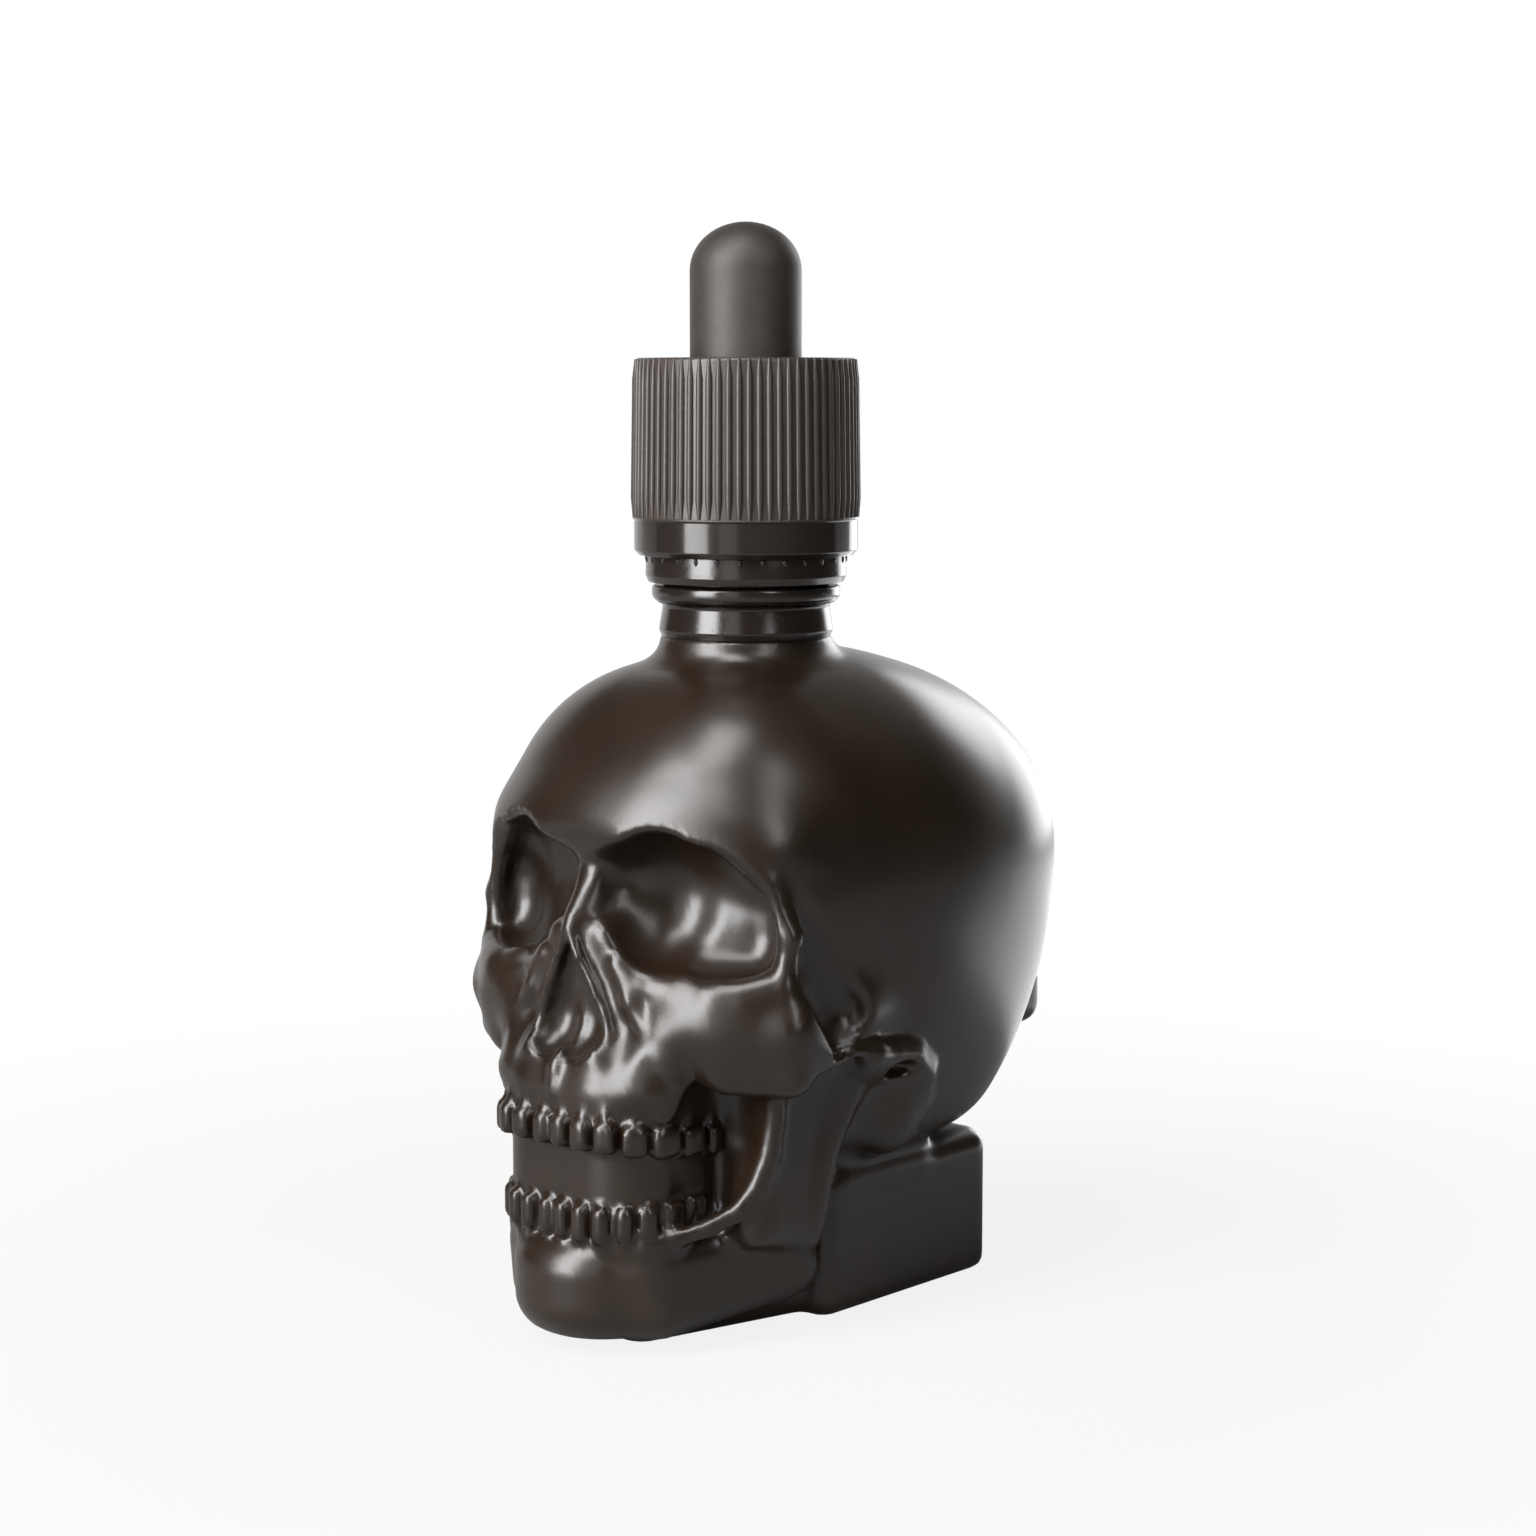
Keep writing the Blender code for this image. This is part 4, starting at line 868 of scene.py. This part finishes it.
class Finish(Nodes):
    """One material: a principled surface whose inputs come from expressions."""

    def __init__(self, name):
        self.material = bpy.data.materials.new(name)
        self.material.use_nodes = True
        super().__init__(self.material.node_tree)
        self.surface = self.tree.nodes["Principled BSDF"]
        self.place = self.node("ShaderNodeTexCoord").outputs["Object"]

    def paint(self, colour, roughness, **others):
        """Set the surface's inputs and return the material."""
        self.fill(self.surface, Base_Color=colour, Roughness=roughness, **others)
        return self.material

    def noise(self, grain_mm, detail=2.0, stretch=1):
        """Noise between 0 and 1, its grains about this many millimetres wide and stretched upwards."""
        placed = self.node("ShaderNodeMapping", Vector=self.place, Scale=(1.0, 1.0, 1.0 / stretch))
        made = self.node("ShaderNodeTexNoise", Vector=placed, Scale=1000.0 / grain_mm, Detail=detail)
        return self.value(made.outputs["Fac"])

    def mix(self, share, first, second):
        """A colour between two others."""
        return self.node("ShaderNodeMix", {"data_type": "RGBA"}, Factor=share, A=first, B=second)

    def bump(self, height, depth_mm, strength):
        made = self.node("ShaderNodeBump", Height=height, Distance=depth_mm * MM, Strength=strength)
        self.fill(self.surface, Normal=made.outputs["Normal"])


def rgb(red, green, blue):
    """Display values of 0 to 255 as the opaque linear colour they stand for."""
    linear = (((v / 255 + 0.055) / 1.055) ** 2.4 if v > 10 else v / 255 / 12.92 for v in (red, green, blue))
    return (*linear, 1.0)


def coated_glass():
    """Matte black coat over the skull, with a fine sprayed grain and faint handling marks."""
    finish = Finish("coated_glass")
    cloud, grain = finish.noise(9.0, 3.0), finish.noise(0.28)
    finish.bump(grain, 0.02, 0.35)
    colour = finish.mix(cloud.rise(0.35, 0.7), rgb(22, 14, 7), rgb(27, 18, 10))
    return finish.paint(colour, 0.25 + 0.06 * cloud + 0.06 * grain)


def bare_glass():
    """Glossy black glass of the neck, slightly wavy from the mould."""
    finish = Finish("bare_black_glass")
    wave, speck = finish.noise(3.5, 1.0, stretch=3), finish.noise(0.5)
    finish.bump(wave, 0.05, 0.5)
    return finish.paint(rgb(24, 19, 16), 0.19 + 0.12 * speck.rise(0.5, 0.8))


def band_plastic():
    """Glossy plastic with a faint grain."""
    finish = Finish("band_plastic")
    finish.bump(finish.noise(1.4), 0.03, 0.5)
    return finish.paint(rgb(28, 23, 20), 0.12 + 0.16 * finish.noise(0.6, 3.0))


def shell_plastic():
    """Satin ribs with a fine grain, over a glossy plain band."""
    finish = Finish("shell_plastic")
    split = finish.node("ShaderNodeSeparateXYZ", Vector=finish.place)
    height = finish.value(split.outputs["Z"]) * 1000.0
    ribbed = height.rise(SHELL_BAND_TOP_Z - 0.1, SHELL_BAND_TOP_Z + 0.3)
    grain, cloud = finish.noise(0.22), finish.noise(4.0)
    finish.bump(grain * ribbed, 0.03, 0.5)
    colour = finish.mix(ribbed, rgb(27, 22, 19), rgb(46, 40, 36))
    return finish.paint(colour, 0.1 + ribbed * 0.28 + cloud * 0.05)


def liner_plastic():
    """Plain grey-black plastic of the cap under the shell."""
    finish = Finish("liner_plastic")
    grain = finish.noise(0.4)
    finish.bump(grain, 0.02, 0.4)
    return finish.paint(rgb(36, 34, 32), 0.34 + 0.12 * grain)


def bulb_rubber():
    """Matte rubber with a fine grain and soft lighter clouds."""
    finish = Finish("bulb_rubber")
    grain, cloud = finish.noise(0.2), finish.noise(2.5, 3.0)
    finish.bump(grain, 0.025, 0.4)
    colour = finish.mix(cloud.rise(0.4, 0.75), rgb(32, 27, 23), rgb(39, 33, 29))
    return finish.paint(colour, 0.48 + 0.14 * grain)


def clear_glass():
    """Clear glass of the pipette, with a faint blue-green tint."""
    finish = Finish("clear_glass")
    colour = (0.82, 0.88, 0.87, 1.0)
    return finish.paint(colour, 0.015 + 0.03 * finish.noise(2.0), Transmission_Weight=1.0, IOR=1.47)


FINISHES = {make.__name__: make() for make in (coated_glass, bare_glass, band_plastic, shell_plastic,
                                               liner_plastic, bulb_rubber, clear_glass)}


def dress(piece, body, slot, finish=None, replaces=()):
    """Give a finished piece its material, its place on a moving body and the nodes it stands for."""
    piece.data.materials.clear()
    piece.data.materials.append(FINISHES[finish or slot])
    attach(piece, body)
    if replaces:
        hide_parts(*replaces)


# The bottle.


def cavity_field():
    """The space inside the glass: plain smooth forms, kept a wall's thickness inside the skull."""
    field = head_grid(CAVITY_FIELD_STEP)
    field.add(ball(CRANIUM_CENTRE, [r - GLASS_WALL for r in CRANIUM_RADII], below=CAVITY_UNDER_DEPTH))
    field.add(slab((0, 9.4, 14.0), (10.8, 9.2, 14.0 - GLASS_BASE), 4.0), 3.0)
    field.add(slab((0, -8.0, 18.0), (6.4, 13.0, 18.0 - GLASS_BASE), 4.0), 4.0)
    wall = skull_field(CAVITY_FIELD_STEP).values + GLASS_WALL
    field.values = smooth_max(field.values, wall, 2.0)
    return field


def cut_flat_base(mesh):
    """Cut away what lies under the base plane and close the cut with one flat face."""
    work = bmesh.new()
    work.from_mesh(mesh)
    everything = work.verts[:] + work.edges[:] + work.faces[:]
    sliced = bmesh.ops.bisect_plane(work, geom=everything, dist=1e-7, plane_co=(0, 0, 0), plane_no=(0, 0, 1),
                                    clear_inner=True)
    rim = [e for e in sliced["geom_cut"] if isinstance(e, bmesh.types.BMEdge)]
    bmesh.ops.holes_fill(work, edges=rim, sides=0)
    work.to_mesh(mesh)
    work.free()


def make_skull():
    """The glass skull with the coated foot of its neck, hollow and open through the bore."""
    outer = skull_field(SKULL_FIELD_STEP)
    stub_top = NECK_STUB_TOP_Z / SKULL_SIZE[2]
    stub_r = NECK_STUB_R / SKULL_SIZE[0]
    low = CROWN_HEIGHT - NECK_BORE_DEPTH
    outer.add(pillar(stub_r, low, stub_top), NECK_FILLET)
    # Round the edges of the base before its plane is cut.
    outer.values = smooth_max(outer.values, BASE_FIELD_Z - outer.axes[2][None, None, :], BASE_ROUNDING)
    skull = solid("skull", outer)
    cut_flat_base(skull.data)
    cut_out(skull, solid("cavity", cavity_field()))
    bore = [(0, RIM_Z, 0), (NECK_BORE_R, RIM_Z, 0), (NECK_BORE_R, low, 0), (0, low, 0)]
    cut_out(skull, turned_piece("bore", bore))
    dress(shade(skull, CREASE_DEGREES), "bottle", "coated_glass", replaces=["bottle"])


def make_neck():
    """Glossy neck: rim, plain finish, retaining bead, groove, collar and the neck's slight flare."""
    collar_low = COLLAR_TOP_Z - COLLAR_HEIGHT
    bead_low = BEAD_TOP_Z - BEAD_HEIGHT
    foot = NECK_STUB_TOP_Z - 0.6
    neck = turned_piece("neck_finish", [
        (NECK_BORE_R, RIM_Z, 0.5), (NECK_ROOT_R, RIM_Z, 0.6), (NECK_ROOT_R, BEAD_TOP_Z + 0.6, 0.4),
        (BEAD_R, BEAD_TOP_Z, 0.4), (BEAD_R, bead_low, 0.25), (NECK_GROOVE_R, bead_low, 0.2),
        (NECK_GROOVE_R, COLLAR_TOP_Z, 0.2), (COLLAR_R, COLLAR_TOP_Z, 0.35),
        (COLLAR_R, collar_low, 0.85), (NECK_TOP_R, collar_low, 0.5),
        (NECK_LOW_R, NECK_STUB_TOP_Z + 0.55, 0.5), (NECK_LOW_R - 0.25, NECK_STUB_TOP_Z - 0.1, 0.2),
        (NECK_LOW_R - 0.8, foot, 0), (NECK_BORE_R + 0.05, foot, 0),
    ])
    dress(neck, "bottle", "coated_glass", "bare_glass")
    thread = screw_thread("neck_thread", "bare_glass", NECK_ROOT_R + 0.2, THREAD_LOW_Z, 0.75)
    dress(shade(thread), "bottle", "coated_glass", "bare_glass")


# The closure.


def make_tamper_band():
    """Ring left on the neck: a plain band with a hooking lip and a row of small nubs."""
    low = COLLAR_TOP_Z + CLEARANCE
    high = low + TAMPER_HEIGHT
    hook = NECK_GROOVE_R + CLEARANCE
    lip = BEAD_TOP_Z - BEAD_HEIGHT - CLEARANCE
    band = turned_piece("band_body", [
        (INNER_CAP_R - TAMPER_TAPER, high, 0.15), (INNER_CAP_R - 0.06, low + 0.7, 0.2),
        (INNER_CAP_R - 0.35, low, 0.15), (hook, low, 0.1), (hook, lip - 0.2, 0.1),
        (BEAD_R + CLEARANCE, lip + 0.2, 0.1), (BEAD_R + CLEARANCE, high, 0.1),
    ])
    nubs = nub_ring("band_nubs", "band_plastic", Count=TAMPER_NUBS, Height=(high - 0.75) * MM,
                    Ring_radius=(INNER_CAP_R - 0.2) * MM, Radius=0.24 * MM)
    dress(shade(joined("tamper_ring", [band, nubs])), "band", "band_plastic", replaces=["tamper_band"])


def make_inner_cap():
    """Threaded cap under the shell, with its ring of driving lugs."""
    low = COLLAR_TOP_Z + TAMPER_HEIGHT + 2 * CLEARANCE
    bore = INNER_CAP_R - INNER_WALL
    under = PANEL_TOP_Z - PANEL_THICKNESS
    groove_r = INNER_CAP_R - SNAP_DEPTH
    groove_high = PANEL_TOP_Z - SNAP_DROP
    groove_low = groove_high - PRESS_TRAVEL - SNAP_BEAD_HEIGHT - 2 * CLEARANCE
    body = turned_piece("liner_body", [
        (INNER_CAP_R, PANEL_TOP_Z, 0.4), (INNER_CAP_R, groove_high, 0.1), (groove_r, groove_high, 0),
        (groove_r, groove_low, 0), (INNER_CAP_R, groove_low, 0.1), (INNER_CAP_R, low, 0.2),
        (bore, low, 0.2), (bore, under, 0.3), (BULB_HOLE_R, under, 0), (BULB_HOLE_R, PANEL_TOP_Z, 0.2),
    ])
    lugs = lug_ring(PANEL_TOP_Z - LUG_SINK, PANEL_TOP_Z + LUG_HEIGHT)
    thread = screw_thread("liner_thread", "liner_plastic", bore - 0.05,
                          THREAD_LOW_Z - THREAD_PITCH / 2, 0.55)
    dress(shade(joined("inner_cap_body", [body, *lugs, thread])), "screw_cap", "liner_plastic",
          replaces=["inner_cap"])


def make_outer_cap():
    """Ribbed shell over a plain glossy band, with a bead that snaps into the inner cap."""
    under = SHELL_TOP_Z - SHELL_TOP_THICKNESS
    bead_high = PANEL_TOP_Z - SNAP_DROP - CLEARANCE
    bead_r = SHELL_INNER_R - SNAP_DEPTH
    core = turned_piece("shell_core", [
        (BULB_HOLE_R, SHELL_TOP_Z, 0.25), (RIB_TOP_R - 0.3, SHELL_TOP_Z, 0.4),
        (RIB_BOTTOM_R - RIB_DEPTH, SHELL_BAND_TOP_Z + 0.25, 0),
        (RIB_BOTTOM_R - 0.15, SHELL_BAND_TOP_Z + 0.2, 0.1),
        (RIB_BOTTOM_R - 0.2, SHELL_BAND_TOP_Z, 0), (SHELL_BAND_R, SHELL_BAND_TOP_Z - 0.1, 0.05),
        (SHELL_BAND_R, SHELL_LOW_Z + 0.5, 0.25), (SHELL_BAND_R - 0.45, SHELL_LOW_Z, 0.1),
        (SHELL_INNER_R, SHELL_LOW_Z, 0.1), (SHELL_INNER_R, bead_high - SNAP_BEAD_HEIGHT, 0),
        (bead_r, bead_high - 0.7, 0), (bead_r, bead_high - 0.15, 0),
        (SHELL_INNER_R, bead_high + 0.2, 0), (SHELL_INNER_R, under, 0.3), (BULB_HOLE_R, under, 0),
    ], segments=RIB_COUNT * 2)
    lugs = lug_ring(under - LUG_HEIGHT, under + LUG_SINK, shift=0.5)
    ribs = rib_ring("ribs", "shell_plastic", Count=RIB_COUNT, Top=(SHELL_TOP_Z - 0.12) * MM,
                    Low=(SHELL_BAND_TOP_Z + 0.12) * MM, Top_radius=(RIB_TOP_R - RIB_R) * MM,
                    Low_radius=(RIB_BOTTOM_R - RIB_R) * MM, Radius=RIB_R * MM)
    dress(shade(joined("ribbed_shell", [core, *lugs, ribs])), "press_shell", "shell_plastic",
          replaces=["outer_cap"])


# The dropper.


def make_bulb():
    """Squeeze bulb: closed dome, straight sides, a lip round the pipette and the sealing flange."""
    top = SHELL_TOP_Z + BULB_HEIGHT
    flange_low = RIM_Z + CLEARANCE
    flange_high = flange_low + FLANGE_THICKNESS
    lip_r = PIPETTE_R + CLEARANCE
    lip_top = flange_low + BULB_LIP
    hollow_r = BULB_R - BULB_WALL
    inside = dome(hollow_r, BULB_DOME - BULB_WALL, top - BULB_WALL)[::-1]
    bulb = turned_piece("squeeze_bulb", dome(BULB_R, BULB_DOME, top) + [
        (BULB_R, flange_high, 0.3), (FLANGE_R, flange_high, 0.4), (FLANGE_R, flange_low, 0.4),
        (lip_r, flange_low, 0.2), (lip_r, lip_top, 0.2), (hollow_r, lip_top, 0.2),
    ] + inside)
    dress(bulb, "dropper", "bulb_rubber", replaces=["bulb"])


def make_pipette():
    """Glass tube: flared head above the bulb's lip, straight barrel and a drawn tip."""
    head = RIM_Z + CLEARANCE + BULB_LIP + CLEARANCE
    top = head + PIPETTE_FLARE_HEIGHT
    bore = PIPETTE_R - PIPETTE_WALL
    tip_bore = PIPETTE_TIP_R - PIPETTE_TIP_WALL
    shoulder = PIPETTE_TIP_Z + PIPETTE_TAPER
    tube = turned_piece("glass_tube", [
        (PIPETTE_FLARE_R, top, 0.3), (PIPETTE_FLARE_R, head, 0.3), (PIPETTE_R, head, 0.2),
        (PIPETTE_R, shoulder, 6.0), (PIPETTE_TIP_R, PIPETTE_TIP_Z, 0.25),
        (tip_bore, PIPETTE_TIP_Z, 0.15), (bore, shoulder, 6.0), (bore, top, 0.2),
    ], segments=64)
    dress(tube, "dropper", "clear_glass", replaces=["pipette"])


make_skull()
make_neck()
make_tamper_band()
make_inner_cap()
make_outer_cap()
make_bulb()
make_pipette()


# Studio, in metres. The camera stands level, to the skull's left of its face.

CAMERA_AZIMUTH = 42
CAMERA_DISTANCE = 0.320
CAMERA_HEIGHT = 0.0925
CAMERA_LENS = 74.75
CAMERA_AIM = (0.0069, -0.1213)
SENSOR_WIDTH = 36.0
AHEAD, ASIDE = cos_sin(CAMERA_AZIMUTH)
TOWARDS_CAMERA = Vector((ASIDE, -AHEAD, 0))
CAMERA_RIGHT = Vector((AHEAD, ASIDE, 0))
MIDDLE = Vector((0, 0, 0.045))
SURROUND_LIGHT = 0.075
SURROUND_COLOUR = (1, 0.84, 0.68, 1)
WHITE = (1, 1, 1, 1)
FLOOR_SIDE = 2.0
FLOOR_Z = -0.0006
SWEEP_NEAR = -0.18
WALL_BEHIND = -0.75
WALL_HALF = 0.8
WALL_HEIGHT = 0.6


def place(towards, right, up):
    """A point given as distances towards the camera, to its right and up."""
    return TOWARDS_CAMERA * towards + CAMERA_RIGHT * right + Vector((0, 0, up))


def softbox(name, azimuth, elevation, distance, width, height, radiance, straight_up=False):
    """A soft light aimed at the object, or lying flat, set by where it stands as the camera sees it."""
    (level, up), (ahead, aside) = cos_sin(elevation), cos_sin(azimuth)
    spot = place(distance * level * ahead, distance * level * aside, MIDDLE.z + distance * up)
    light = bpy.data.lights.new(name, "AREA")
    light.shape = "RECTANGLE"
    light.size, light.size_y = width, height
    light.energy = radiance * math.pi * width * height
    lamp = link(name, light)
    lamp.location = spot
    aim = Vector((0, 0, 1)) if straight_up else MIDDLE - spot
    lamp.rotation_euler = aim.to_track_quat("-Z", "Y").to_euler()
    lamp.visible_camera = False


def white_surround():
    """World: white where the camera sees it, dim as a light."""
    world = bpy.data.worlds.new("Studio")
    bpy.context.scene.world = world
    world.use_nodes = True
    nodes = Nodes(world.node_tree)
    dim = nodes.fill(nodes.tree.nodes["Background"], Color=SURROUND_COLOUR, Strength=SURROUND_LIGHT)
    white = nodes.node("ShaderNodeBackground", Color=WHITE, Strength=1.0)
    nodes.show("World Output", nodes.seen_by("Camera", "Transmission"), dim, white)


def backdrop_material(name, seen_by, white_share, fade):
    """White where these rays see it, apart from a share that shows the light and shadow on it."""
    finish = Finish(name)
    finish.paint((0.3, 0.3, 0.3, 1), 0.9, Specular_IOR_Level=0.0)
    away = finish.node("ShaderNodeVectorMath", {"operation": "LENGTH"}, Vector=finish.place)
    share = finish.node("ShaderNodeMapRange", Value=away.outputs["Value"], From_Min=fade[0], From_Max=fade[1],
                        To_Min=white_share, To_Max=1.0)
    white = finish.node("ShaderNodeEmission", Strength=1.0)
    whiteness = finish.seen_by(*seen_by) * finish.value(share.outputs["Result"])
    finish.show("Material Output", whiteness, finish.surface, white)
    return finish.material


def backdrop(name, spots, material):
    mesh = bpy.data.meshes.new(name)
    mesh.from_pydata(spots, [], [(0, 1, 2, 3)])
    mesh.materials.append(material)
    link(name, mesh)


def floor_and_wall():
    """White floor with a faint shadow under the object, and a white wall that shows in its gloss."""
    corners = [(x * FLOOR_SIDE, y * FLOOR_SIDE, FLOOR_Z) for x, y in ((-1, -1), (1, -1), (1, 1), (-1, 1))]
    white = backdrop_material("studio_floor", ("Camera", "Transmission"), 0.86, (0.06, 0.16))
    backdrop("floor", corners, white)
    white = backdrop_material("studio_wall", ("Camera", "Glossy", "Transmission"), 1.0, (0.0, 1.0))
    foot = [place(WALL_BEHIND, side, 0) for side in (-WALL_HALF, WALL_HALF)]
    near = [place(SWEEP_NEAR, side, FLOOR_Z / 2) for side in (-WALL_HALF, WALL_HALF)]
    top = [place(WALL_BEHIND, side, WALL_HEIGHT) for side in (WALL_HALF, -WALL_HALF)]
    backdrop("sweep", near + foot[::-1], white)
    backdrop("wall", foot + top, white)


def camera():
    data = bpy.data.cameras.new("camera")
    data.sensor_fit = "HORIZONTAL"
    data.sensor_width = SENSOR_WIDTH
    data.lens = CAMERA_LENS
    data.clip_start, data.clip_end = 0.01, 10
    eye = link("camera", data)
    eye.location = place(CAMERA_DISTANCE, 0, CAMERA_HEIGHT)
    aim = -TOWARDS_CAMERA + CAMERA_RIGHT * CAMERA_AIM[0] + Vector((0, 0, CAMERA_AIM[1]))
    eye.rotation_euler = aim.to_track_quat("-Z", "Y").to_euler()
    bpy.context.scene.camera = eye


white_surround()
floor_and_wall()
softbox("left_box", -52, 18, 0.62, 0.30, 0.80, 17.0)
softbox("right_box", 32, 34, 0.62, 0.12, 0.50, 6.0)
softbox("front_box", -18, 8, 0.62, 0.20, 0.50, 1.4)
softbox("top_box", -30, 66, 0.60, 0.20, 0.36, 12.0)
softbox("rim_box", 146, 10, 0.50, 0.24, 0.40, 4.0)
softbox("low_box", 140, -13, 0.19, 0.20, 0.20, 2.0, straight_up=True)
camera()
bpy.context.scene.view_settings.view_transform = "Standard"
